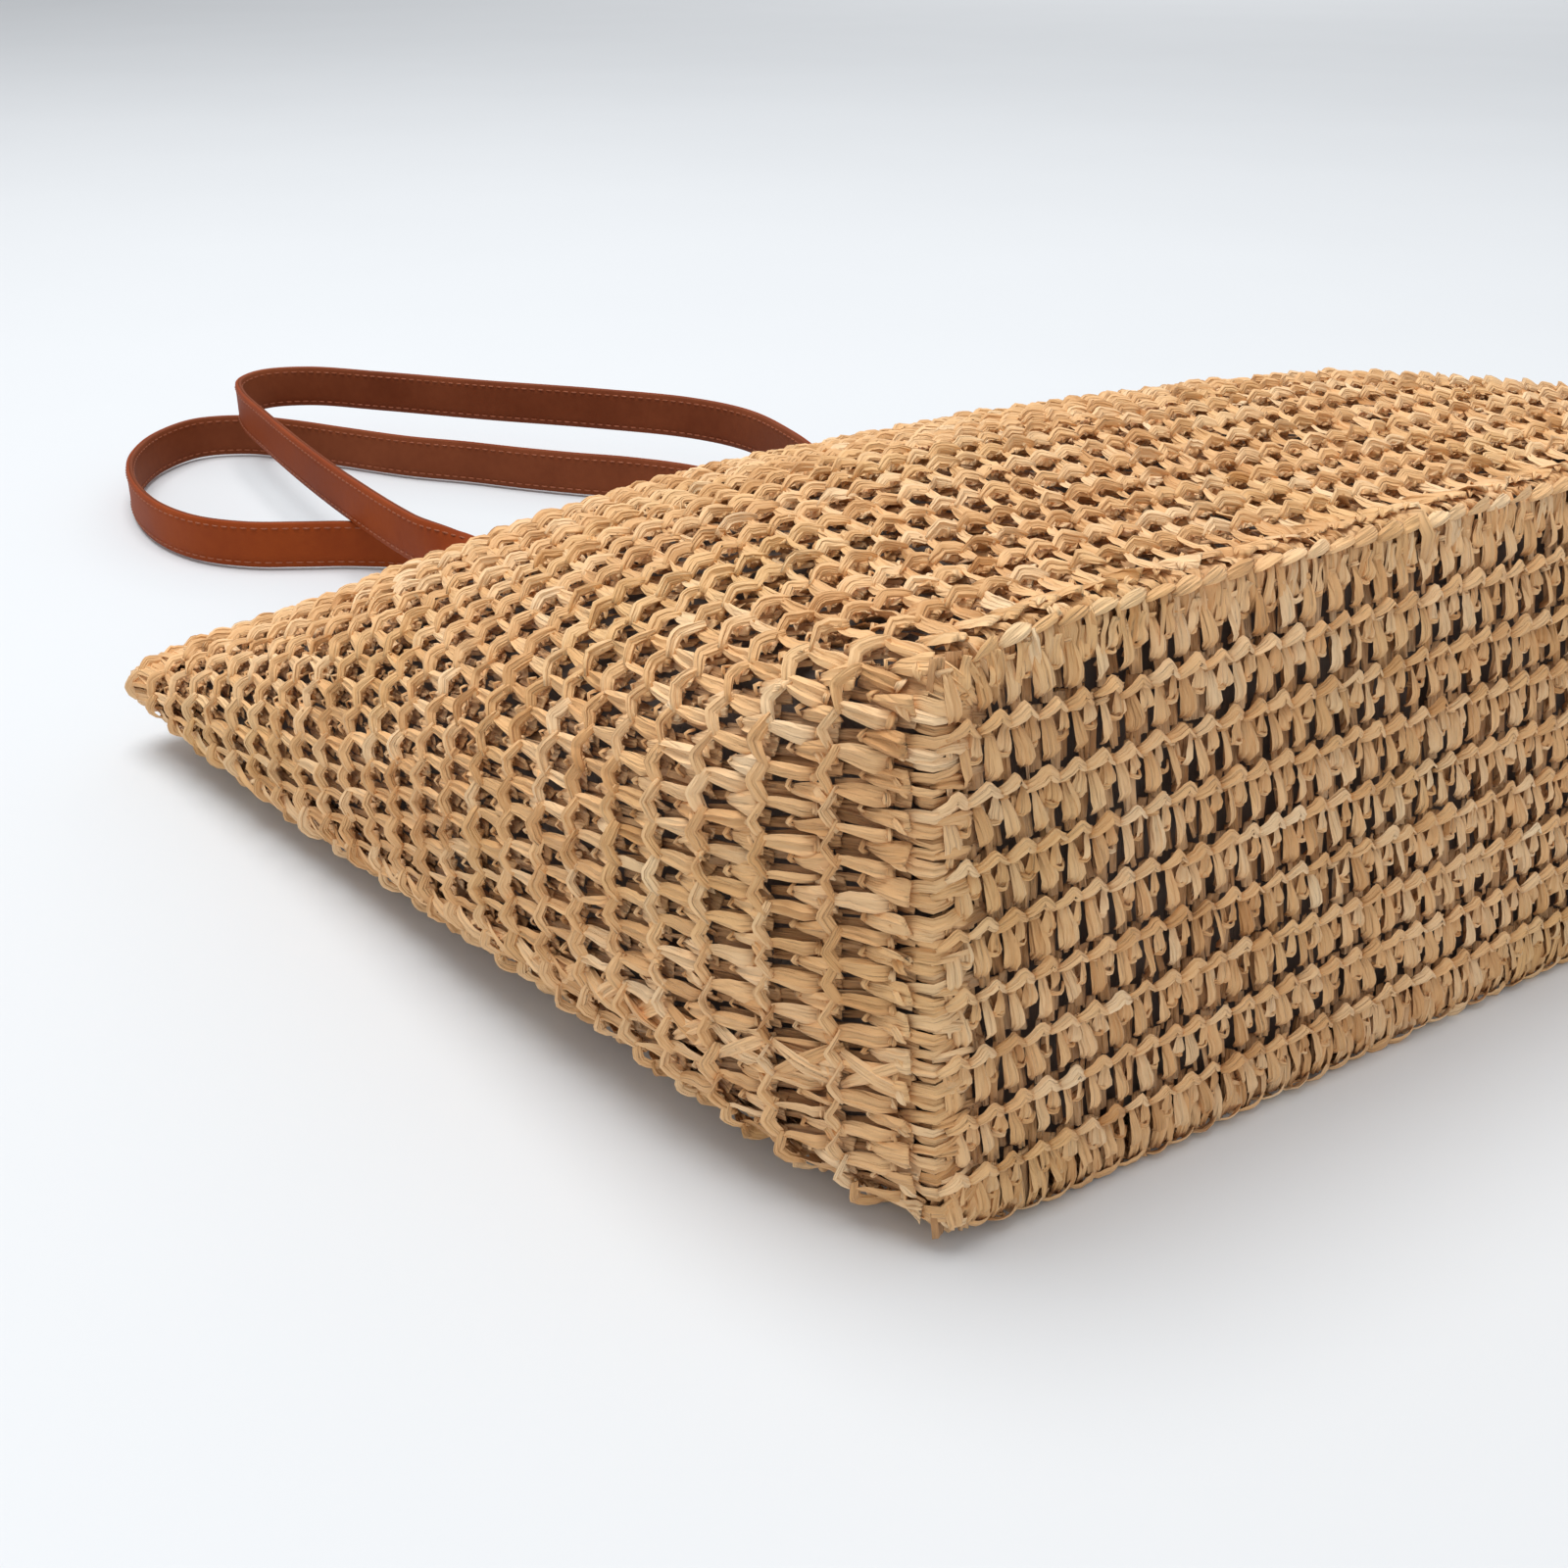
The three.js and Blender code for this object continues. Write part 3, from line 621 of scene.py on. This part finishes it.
def raffia_material():
    """Crumpled paper raffia: fibres and pleats run along each ribbon, and each ribbon has its own tone. Low
    ribbons and the pleats' valleys are painted darker, as shade.
    """
    n = Nodes("raffia")
    uv = n.add("ShaderNodeUVMap", uv_map="ribbon").outputs["UV"]
    tone = n.add("ShaderNodeAttribute", attribute_name="tone").outputs["Fac"]
    place = n.add("ShaderNodeTexCoord").outputs["Object"]
    fibres = n.noise(n.stretched(uv, (0.12, 3.2, 1)), 1.0, 4.0, 0.65)
    folds = n.noise(n.stretched(uv, (0.05, 0.55, 1)), 1.0, 2.0)
    pleats = n.math("MINIMUM", n.math("ABSOLUTE", n.math("SUBTRACT", folds, 0.5)), PLEAT_DEPTH)
    crumple = n.noise(uv, 0.55, 3.0)
    patch = n.noise(place, 38.0, 2.0)
    shade = n.math("MULTIPLY_ADD", tone, RIBBON_TONE, 0.5)
    shade = n.vary(shade, fibres, FIBRE_SHADE)
    shade = n.vary(shade, patch, PATCH_SHADE)
    dark_straw, mid_straw, pale_straw = linear(196, 138, 78), linear(240, 192, 136), linear(255, 226, 184)
    straw = n.ramp(shade, [(0.15, dark_straw), (0.5, mid_straw), (0.85, pale_straw)])
    ochre = linear(212, 176, 104)
    greener = n.ramp(n.noise(place, 21.0, 1.0), [(0.5, (0, 0, 0, 1)), (0.75, (1, 1, 1, 1))])
    colour = n.mix(n.math("MULTIPLY", greener, GREENER_SHARE), straw, ochre)
    # Painted shade: ribbons that lie low in the crochet are darkened towards a shaded brown.
    depth = n.add("ShaderNodeAttribute", attribute_name="depth").outputs["Fac"]
    colour = n.mix(n.math("MULTIPLY", depth, RECESS_PAINTED_SHADE), colour, linear(146, 92, 52))
    # Painted shade: thin dark lines along the pleats' valleys, where shade falls.
    crease_shade_lines = n.ramp(pleats, [(0.0, (0.55, 0.42, 0.3, 1)), (0.045, (1, 1, 1, 1)), (1, (1, 1, 1, 1))])
    colour = n.mix(CREASE_PAINTED_SHADE, colour, crease_shade_lines, "MULTIPLY")
    creased = n.bump(pleats, 1.0, 0.0028)
    creased = n.bump(crumple, 0.35, 0.0006, creased)
    fine = n.bump(fibres, 0.5, 0.00025, creased)
    n.set(Base_Color=colour, Normal=fine, Roughness=n.math("MULTIPLY_ADD", fibres, 0.25, 0.45))
    n.set(Specular_IOR_Level=0.35, Sheen_Weight=0.08)
    return n.material


def lining_material():
    """Plain woven cotton with soft wrinkles."""
    n = Nodes("lining_cotton")
    place = n.add("ShaderNodeTexCoord").outputs["Object"]
    warp = n.waves(place, 420.0, 0.6, "X")
    weft = n.waves(place, 420.0, 0.6, "Y")
    weave = n.math("MULTIPLY", warp, weft)
    wrinkle = n.noise(n.stretched(place, (16, 7, 16)), 1.0, 3.0)
    colour = n.ramp(n.noise(place, 60.0), [(0.3, linear(112, 100, 92)), (0.7, linear(138, 124, 114))])
    soft = n.bump(wrinkle, 0.6, 0.003)
    fine = n.bump(weave, 0.35, 0.0002, soft)
    n.set(Base_Color=colour, Normal=fine, Roughness=0.9, Sheen_Weight=0.15)
    return n.material


def leather_material(name, shade, worn, roughness):
    """Smooth-grained leather with fine pores, soft creases and a paler wear."""
    n = Nodes(name)
    place = n.add("ShaderNodeTexCoord").outputs["Object"]
    cells = n.add("ShaderNodeTexVoronoi", {"Vector": place, "Scale": 900.0}, feature="DISTANCE_TO_EDGE")
    pores = cells.outputs["Distance"]
    grain = n.noise(place, 260.0, 4.0)
    cloud = n.noise(place, 24.0, 3.0)
    wear = n.math("MULTIPLY_ADD", grain, 0.25, n.math("MULTIPLY", cloud, 0.75))
    colour = n.ramp(wear, [(0.3, shade), (0.75, worn)])
    soft = n.bump(grain, 0.22, 0.0003)
    fine = n.bump(n.math("MINIMUM", pores, 0.12), 0.5, 0.0003, soft)
    n.set(Base_Color=colour, Normal=fine, Roughness=n.math("MULTIPLY_ADD", cloud, 0.2, roughness))
    n.set(Specular_IOR_Level=0.12)
    return n.material


def thread_material():
    """Waxed thread, twisted."""
    n = Nodes("waxed_thread")
    place = n.add("ShaderNodeTexCoord").outputs["Object"]
    twist = n.waves(place, 900.0, 1.0, "DIAGONAL")
    n.set(Base_Color=n.ramp(twist, [(0, linear(140, 70, 36)), (1, linear(168, 92, 52))]))
    n.set(Normal=n.bump(twist, 0.5, 0.0002), Roughness=0.55)
    return n.material


def brass_material():
    """Satin antique brass with fine scratches."""
    n = Nodes("antique_brass")
    place = n.add("ShaderNodeTexCoord").outputs["Object"]
    scratch = n.noise(n.stretched(place, (900, 90, 90)), 1.0, 3.0)
    cloud = n.noise(place, 160.0, 3.0)
    n.set(Base_Color=n.ramp(cloud, [(0.3, linear(148, 116, 62)), (0.7, linear(196, 164, 104))]))
    n.set(Roughness=n.math("MULTIPLY_ADD", cloud, 0.2, 0.22), Metallic=1.0)
    n.set(Normal=n.bump(scratch, 0.12, 0.0002))
    return n.material


def floor_material():
    """Matt, almost white paper."""
    n = Nodes("paper_floor")
    place = n.add("ShaderNodeTexCoord").outputs["Object"]
    darker, lighter = (0.71, 0.735, 0.755, 1), (0.74, 0.765, 0.785, 1)
    n.set(Base_Color=n.ramp(n.noise(place, 3.0), [(0, darker), (1, lighter)]))
    n.set(Roughness=0.85, Specular_IOR_Level=0.15)
    return n.material


RAFFIA = raffia_material()
COTTON = lining_material()
STRAP_LEATHER = leather_material("strap_leather_tan", linear(132, 54, 16), linear(154, 70, 24), 0.5)
BACKING_LEATHER = leather_material("backing_leather_tan", linear(112, 54, 28), linear(136, 72, 42), 0.55)
THREAD = thread_material()
BRASS = brass_material()


# ---- crochet ----
LEAN_AT_BASE = 0.3  # stitches that a round shifts by, next to the one before it
LEAN_AT_MOUTH = 0.5
LEAN_CHANGE = 0.45  # the lean changes over this share of the rounds


def round_shift(rounds):
    """How many stitches each round is shifted by. Near the mouth each shifts by half a stitch."""
    change = np.clip(rounds / (LEAN_CHANGE * ROUNDS), 0, 1)
    return -np.cumsum(LEAN_AT_BASE + (LEAN_AT_MOUTH - LEAN_AT_BASE) * change)


def crochet_body():
    """The body's rounds, a few to a piece, with the place where each round is joined."""
    shifts = round_shift(np.arange(ROUNDS))
    for first in range(0, ROUNDS, ROUNDS_PER_PIECE):
        cloth = Cloth()
        rounds = np.arange(first, first + ROUNDS_PER_PIECE)
        u, k = np.meshgrid(np.arange(STITCHES), rounds)
        shift = shifts[k.ravel()]
        lay_ribbons(cloth, body_surface, BODY_STITCH, u.ravel() + shift, k.ravel() + 1.0, -1, TILT["body"])
        lay_ribbons(cloth, body_surface, SEAM_STITCH, np.zeros(ROUNDS_PER_PIECE), rounds + 1.0, v_sign=-1)
        piece = cloth.mesh(f"crochet_rounds_{first + 1}_{first + ROUNDS_PER_PIECE}", RAFFIA)
        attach(piece, "bag")
        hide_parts("front_panel", "back_panel", "left_side", "right_side")


def crochet_base():
    """The base's straight rows, from the top down. The first has no ridge, as the edge's chain is there."""
    halves = {"upper": range(0, BASE_SPLIT), "lower": range(BASE_SPLIT, BASE_ROWS)}
    for name, rows in halves.items():
        cloth = Cloth()
        for row in rows:
            u = np.arange(BASE_STITCHES) + (BASE_STAGGER if row % 2 else -BASE_STAGGER)
            stitch = dict(BASE_STITCH)
            if row == 0:
                del stitch["ridge"]
            lay_ribbons(cloth, base_surface, stitch, u, np.full(len(u), float(row)), tilt=TILT["base"])
        piece = cloth.mesh(f"crochet_base_{name}", RAFFIA)
        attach(piece, "bag")
        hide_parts("base_panel")


def finish_edging(cloth, name, *nodes):
    """Makes an edging's piece, which replaces the CAD nodes named."""
    piece = cloth.mesh(name, RAFFIA)
    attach(piece, "bag")
    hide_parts(*nodes)


def crochet_base_edge():
    """A chain along the base's long edges; wraps without a chain at its short ends."""
    u = np.arange(STITCHES).astype(float)
    angle = angle_at(np.zeros(STITCHES), (u + 0.5) / STITCHES)
    short = np.abs(np.sin(angle)) < np.sin(math.pi / 4) * SHORT_END
    cloth = Cloth()
    lay_ribbons(cloth, base_edge_surface, EDGE_STITCH, u[~short], np.zeros((~short).sum()))
    lay_ribbons(cloth, base_edge_surface, SHORT_EDGE_STITCH, u[short], np.zeros(short.sum()))
    finish_edging(cloth, "crochet_base_edge", "base_edge_chain")


def crochet_rim():
    """Wraps and a chain over the edge of the mouth."""
    cloth = Cloth()
    lay_ribbons(cloth, rim_surface, RIM_STITCH, np.arange(STITCHES).astype(float), np.zeros(STITCHES))
    finish_edging(cloth, "crochet_rim", "front_rim", "back_rim")


# ---- lining ----
LINING_AROUND = 240  # points round the sack
LINING_RINGS = 72  # from its base to its mouth
LINING_BASE_RINGS = 10
LINING_MOUTH = 0.976  # share of the bag's length where the hem is
BASE_EASE = 12  # the wrinkles are full at 1/12 of the length past the base
HEM_EASE = 30  # and fade over the last 1/30 before the hem


def wrinkles(share, angle):
    """Soft folds of the lining, as depths inwards."""
    folds = np.sin(9 * angle + 5 * np.sin(4 * share)) * np.sin(math.pi * share)
    folds = folds + 0.6 * np.sin(17 * angle + 11 * share) * np.sin(7 * share + 1)
    return 1.0 + 0.6 * folds


def lining_shell():
    """The lining as one sewn sack, with a base, walls and a turned hem at the mouth."""
    angle = np.linspace(0, 2 * math.pi, LINING_AROUND, endpoint=False)
    rings = []
    for depth in (LINING_DEPTH, LINING_DEPTH + LINING):
        start = depth / BAG_LENGTH
        face = []
        outline = wall_point(np.full(LINING_AROUND, start), angle, depth)
        centre = outline.mean(0)
        for reach in np.linspace(0.02, 0.97, LINING_BASE_RINGS):
            face.append(centre + (outline - centre) * reach)
        for share in np.linspace(start, LINING_MOUTH, LINING_RINGS):
            grown = min(1.0, (share - start) * BASE_EASE)
            faded = min(1.0, (LINING_MOUTH - share) * HEM_EASE)
            extra = wrinkles(share, angle) * grown * faded
            inset = depth + np.maximum(extra, 0)
            face.append(wall_point(np.full(LINING_AROUND, share), angle, inset))
        rings.append(face)
    points = np.array(rings[0] + rings[1][::-1])
    count = len(points)
    k, i = np.meshgrid(np.arange(count), np.arange(LINING_AROUND), indexing="ij")
    ring, next_ring = k * LINING_AROUND, (k + 1) % count * LINING_AROUND
    next_i = (i + 1) % LINING_AROUND
    quads = np.stack([ring + i, ring + next_i, next_ring + next_i, next_ring + i], -1)
    piece = quad_mesh("lining_sack", points.reshape(-1, 3) * MM, quads.reshape(-1, 4), COTTON)
    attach(piece, "bag")
    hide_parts("lining_base", "lining_front", "lining_back", "lining_left", "lining_right")


# ---- straps ----
# Each route is a loop in plan, as the strap lies, in distances from the bag's middle and its base.
BACK_ROUTE = [
    (-88, 395), (-93, 430), (-94, 490), (-92, 550), (-87, 620), (-82, 668), (-74, 692), (-58, 703),
    (-37, 696), (-10, 665), (27, 618), (66, 572), (96, 530), (107, 495), (103, 450), (92, 405),
]
FRONT_ROUTE = [
    (-81, 395), (-70, 428), (-68, 458), (-78, 484), (-96, 500), (-114, 511), (-132, 523), (-147, 542),
    (-155, 568), (-156, 600), (-150, 636), (-139, 664), (-120, 690), (-96, 704.3), (-74, 697), (-56, 674),
    (-39, 645), (-19, 612), (1, 587), (18, 563), (36, 540), (54, 519), (73, 488), (84, 446), (86, 405),
]
STRAP_RUNS = {
    "back": {"side": 1, "route": BACK_ROUTE, "height": STRAP_WIDTH * 1.5 + 0.8},
    "front": {"side": -1, "route": FRONT_ROUTE, "height": STRAP_WIDTH / 2 + 0.2},
}
STRAP_STEPS = 300
END_STEPS = 14
HINGE_STEPS = 6
CURVE_STEPS = 40  # points measured between two places of a route
LEAD_IN = 6.0  # the strap runs straight on for this far past its bend
EDGE_ROUND = 0.5  # the leather's edges are rounded off by this much


def smooth(t):
    """An even start and an even stop from 0 to 1."""
    t = np.clip(t, 0, 1)
    return t * t * (3 - 2 * t)


def centripetal(points, steps):
    """Evenly spaced points on a centripetal Catmull-Rom curve, as the CAD part's strap has."""
    points = np.array(points, float)
    ends = np.vstack([2 * points[0] - points[1], points, 2 * points[-1] - points[-2]])
    fine = []
    for i in range(len(points) - 1):
        p0, p1, p2, p3 = ends[i : i + 4]
        d0, d1, d2 = (np.linalg.norm(b - a) ** 0.5 for a, b in ((p0, p1), (p1, p2), (p2, p3)))
        leave = ((p1 - p0) / d0 - (p2 - p0) / (d0 + d1) + (p2 - p1) / d1) * d1
        reach = ((p2 - p1) / d1 - (p3 - p1) / (d1 + d2) + (p3 - p2) / d2) * d1
        t = np.linspace(0, 1, CURVE_STEPS, endpoint=False)[:, None]
        square = 3 * (p2 - p1) - 2 * leave - reach
        cube = 2 * (p1 - p2) + leave + reach
        fine.append(p1 + leave * t + square * t**2 + cube * t**3)
    fine = np.vstack([*fine, points[-1:]])
    distance = np.concatenate([[0], np.cumsum(np.linalg.norm(np.diff(fine, axis=0), axis=1))])
    even = np.linspace(0, distance[-1], steps + 1)
    return np.stack([np.interp(even, distance, fine[:, c]) for c in range(2)], -1), distance[-1]


def strap_frames(run):
    """The strap's middle line from one end to the other, with its directions across and outward."""
    side, half = run["side"], STRAP_SPACING / 2
    inset = -(GAP + STRAP_THICKNESS / 2)
    share = np.linspace(END_SHARES[0], END_SHARES[1], END_STEPS)
    left_end = panel_point(share, np.full(END_STEPS, -half), side, inset)
    leaving = unit(left_end[-1] - panel_point(END_SHARES[1] - 0.01, -half, side, inset))
    start = left_end[-1] + leaving * 2 * HINGE_REACH
    plan = [(-half, start[1]), (-half, start[1] + LEAD_IN)]
    plan += [(x, BASE_Y + y) for x, y in run["route"]]
    plan += [(half, start[1] + LEAD_IN), (half, start[1])]
    line, length = centripetal(plan, STRAP_STEPS)
    steps = np.arange(STRAP_STEPS + 1)
    from_end = np.minimum(steps, steps[::-1]) * length / STRAP_STEPS
    settle = smooth(from_end / SETTLE_LENGTH)
    on_panel = start[2] + leaving[2] / leaving[1] * from_end * (1 - settle)
    z = on_panel + (run["height"] - on_panel) * settle
    loop = np.column_stack([line, z])
    twist = math.pi / 2 * smooth(from_end / TWIST_LENGTH)
    bend = left_end[-1] + leaving * np.linspace(0, 2 * HINGE_REACH, HINGE_STEPS + 1)[1:-1, None]
    flip = np.array([-1, 1, 1])
    middle = np.vstack([left_end, bend, loop, (bend * flip)[::-1], (left_end * flip)[::-1]])
    lead = END_STEPS + HINGE_STEPS - 1
    twist = np.concatenate([np.zeros(lead), twist, np.zeros(lead)])[:, None]
    travel = unit(np.gradient(middle, axis=0))
    level = unit(np.cross(travel, [0, 0, 1]))
    upright = np.cross(level, travel)
    across = level * np.cos(twist) + side * upright * np.sin(twist)
    outward = -side * np.cross(travel, across)
    return middle, across, outward


def strap_layer(name, frames, near, far, material):
    """One layer of leather with rounded edges."""
    middle, across, outward = frames
    half = STRAP_WIDTH / 2
    roll = min(EDGE_ROUND, abs(far - near) / 2)
    reach = far - math.copysign(roll, far - near)
    near_side = [(x, near) for x in (-half, -half / 2, 0, half / 2, half)]
    far_side = [(x, far) for x in (half - roll, half / 2, 0, -half / 2, -half + roll)]
    ring = np.array([*near_side, (half, reach), *far_side, (-half, reach)])
    points = middle[:, None] + across[:, None] * ring[:, 0, None] + outward[:, None] * ring[:, 1, None]
    count, size = points.shape[:2]
    k, r = np.meshgrid(np.arange(count - 1), np.arange(size), indexing="ij")
    here, beside = k * size + r, k * size + (r + 1) % size
    quads = np.stack([here, beside, beside + size, here + size], -1).reshape(-1, 4)
    caps = np.array([[0, 1, 10, 11], [1, 2, 9, 10], [2, 3, 8, 9], [3, 4, 7, 8], [4, 5, 6, 7]])
    quads = np.vstack([quads, caps[:, ::-1], caps + (count - 1) * size])
    if far > near:
        quads = quads[:, ::-1]
    return quad_mesh(name, points.reshape(-1, 3) * MM, quads, material)


STITCH_LENGTH = 3.4
STITCH_STEP = 4.5
STITCH_START = 4.0  # bare leather before the first stitch, and after the last
STITCH_END = 6.0
STITCH_INSET = 2.3  # from the strap's edge
STITCH_RISE = 0.3  # a stitch's middle stands this far above its ends
STITCH_SINK = 0.1  # and its ends are this far in the leather
STITCH_SECTIONS = 6
THREAD_RADIUS = 0.36
THREAD_SIDES = 6
THREAD_TIP = 0.05


def strap_stitches(name, frames):
    """Two rows of thread on each face of a strap, in short stitches that dip in at their ends."""
    middle = frames[0]
    distance = np.concatenate([[0], np.cumsum(np.linalg.norm(np.diff(middle, axis=0), axis=1))])
    starts = np.arange(STITCH_START, distance[-1] - STITCH_END, STITCH_STEP)
    share = np.linspace(0, 1, STITCH_SECTIONS)
    at = starts[:, None] + share * STITCH_LENGTH
    turns = np.linspace(0, 2 * math.pi, THREAD_SIDES, endpoint=False)[:, None]
    swell = np.sqrt(np.maximum(1 - (2 * share - 1) ** 4, THREAD_TIP))
    sunk = np.sin(math.pi * share) * STITCH_RISE - STITCH_SINK
    line, across, outward = [
        np.stack([np.interp(at, distance, array[:, axis]) for axis in range(3)], -1) for array in frames
    ]
    circle = across[:, :, None] * np.cos(turns) + outward[:, :, None] * np.sin(turns)
    k, r = np.meshgrid(np.arange(STITCH_SECTIONS - 1), np.arange(THREAD_SIDES), indexing="ij")
    a, b = k * THREAD_SIDES + r, k * THREAD_SIDES + (r + 1) % THREAD_SIDES
    side = np.stack([a, a + THREAD_SIDES, b + THREAD_SIDES, b], -1).reshape(-1, 4)
    first = np.array([[0, 1, 2, 3], [0, 3, 4, 5]])
    last = first[:, ::-1] + (STITCH_SECTIONS - 1) * THREAD_SIDES
    one = np.vstack([side, first, last])
    size = STITCH_SECTIONS * THREAD_SIDES
    points, quads, total = [], [], 0
    for edge in (-1, 1):
        for face in (-1, 1):
            centre = line + across * edge * (STRAP_WIDTH / 2 - STITCH_INSET)
            centre = centre + outward * face * (STRAP_THICKNESS / 2 + sunk)[:, None]
            tube = centre[:, :, None] + circle * (THREAD_RADIUS * swell)[:, None, None]
            corners = total + size * np.arange(len(starts))
            quads.append((one[None] + corners[:, None, None]).reshape(-1, 4))
            points.append(tube.reshape(-1, 3))
            total += size * len(starts)
    return quad_mesh(name, np.vstack(points) * MM, np.vstack(quads), THREAD)


def make_straps():
    """Both straps. Each layer bends from the bag's strap ends to the strap that swings."""
    for panel, run in STRAP_RUNS.items():
        frames = strap_frames(run)
        body = f"{panel}_strap"
        face = strap_layer(f"{body}_face_leather", frames, GAP / 4, GAP / 2 + LAYER, STRAP_LEATHER)
        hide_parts(f"{body}_face", f"{body}_end_left", f"{body}_end_right")
        under = -GAP / 2 - LAYER
        backing = strap_layer(f"{body}_backing_leather", frames, -GAP / 4, under, BACKING_LEATHER)
        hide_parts(f"{body}_backing")
        thread = strap_stitches(f"{body}_thread", frames)
        for piece in (face, backing, thread):
            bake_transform(piece)


# ---- fittings kept from the CAD part ----
def finish_fittings():
    """Brass for the rivets and leather for the patches inside."""
    for name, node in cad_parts.items():
        if "_rivet_" in name:
            node.material_slots[0].material = BRASS
        elif "_patch_" in name:
            node.material_slots[0].material = BACKING_LEATHER


# ---- camera, floor and light ----
def make_camera():
    """The optical axis meets the floor under the bag's left half."""
    azimuth, elevation, distance = math.radians(-33.75), math.radians(25.99), 0.619
    aim = Vector((-0.0597, (BASE_Y + 213.7) * MM, 0))
    level = math.cos(elevation)
    back = Vector((math.sin(azimuth) * level, -math.cos(azimuth) * level, math.sin(elevation)))
    data = bpy.data.cameras.new("camera")
    data.sensor_width = 36
    data.lens = 42.75
    data.clip_start = 0.01
    camera = bpy.data.objects.new("camera", data)
    bpy.context.scene.collection.objects.link(camera)
    camera.location = aim + back * distance
    camera.rotation_euler = (-back).to_track_quat("-Z", "Y").to_euler()
    bpy.context.scene.camera = camera


def make_floor():
    """A floor that reaches far past the picture."""
    size = 30.0
    height = -FLOOR_DIP * MM
    corners = [(-size, -size), (size, -size), (size, size), (-size, size)]
    points = np.array([(x, y, height) for x, y in corners])
    floor = quad_mesh("floor", points, np.array([[0, 1, 2, 3]]), floor_material())


def area_light(name, place, target, size, power, colour):
    """A round light at a place, turned towards a target."""
    data = bpy.data.lights.new(name, "AREA")
    data.shape = "DISK"
    data.size = size
    data.energy = power
    data.color = colour
    light = bpy.data.objects.new(name, data)
    bpy.context.scene.collection.objects.link(light)
    light.location = place
    light.rotation_euler = (Vector(target) - Vector(place)).to_track_quat("-Z", "Y").to_euler()


def make_light():
    """A soft sky, a wide light overhead, a warm one in front and one on the floor far behind."""
    world = bpy.data.worlds.new("studio")
    bpy.context.scene.world = world
    world.use_nodes = True
    background = world.node_tree.nodes["Background"]
    background.inputs["Color"].default_value = (0.96, 0.97, 1, 1)
    background.inputs["Strength"].default_value = 0.54
    area_light(
        "overhead", place=(-0.35, 0.27, 3.0), target=(0, -0.05, 0), size=2.3, power=76, colour=(1, 1, 1)
    )
    area_light(
        "front", place=(-0.9, -1.9, 1.1), target=(0, -0.3, 0.05), size=1.5, power=3.2, colour=(1, 0.93, 0.84)
    )
    area_light(
        "backdrop", place=(3.8, 3.4, 2.8), target=(4.2, 3.8, 0), size=3.0, power=40, colour=(1, 0.99, 0.98)
    )
    bpy.context.scene.view_settings.view_transform = "Standard"


make_camera()
make_floor()
make_light()
crochet_body()
crochet_base()
crochet_base_edge()
crochet_rim()
lining_shell()
make_straps()
finish_fittings()
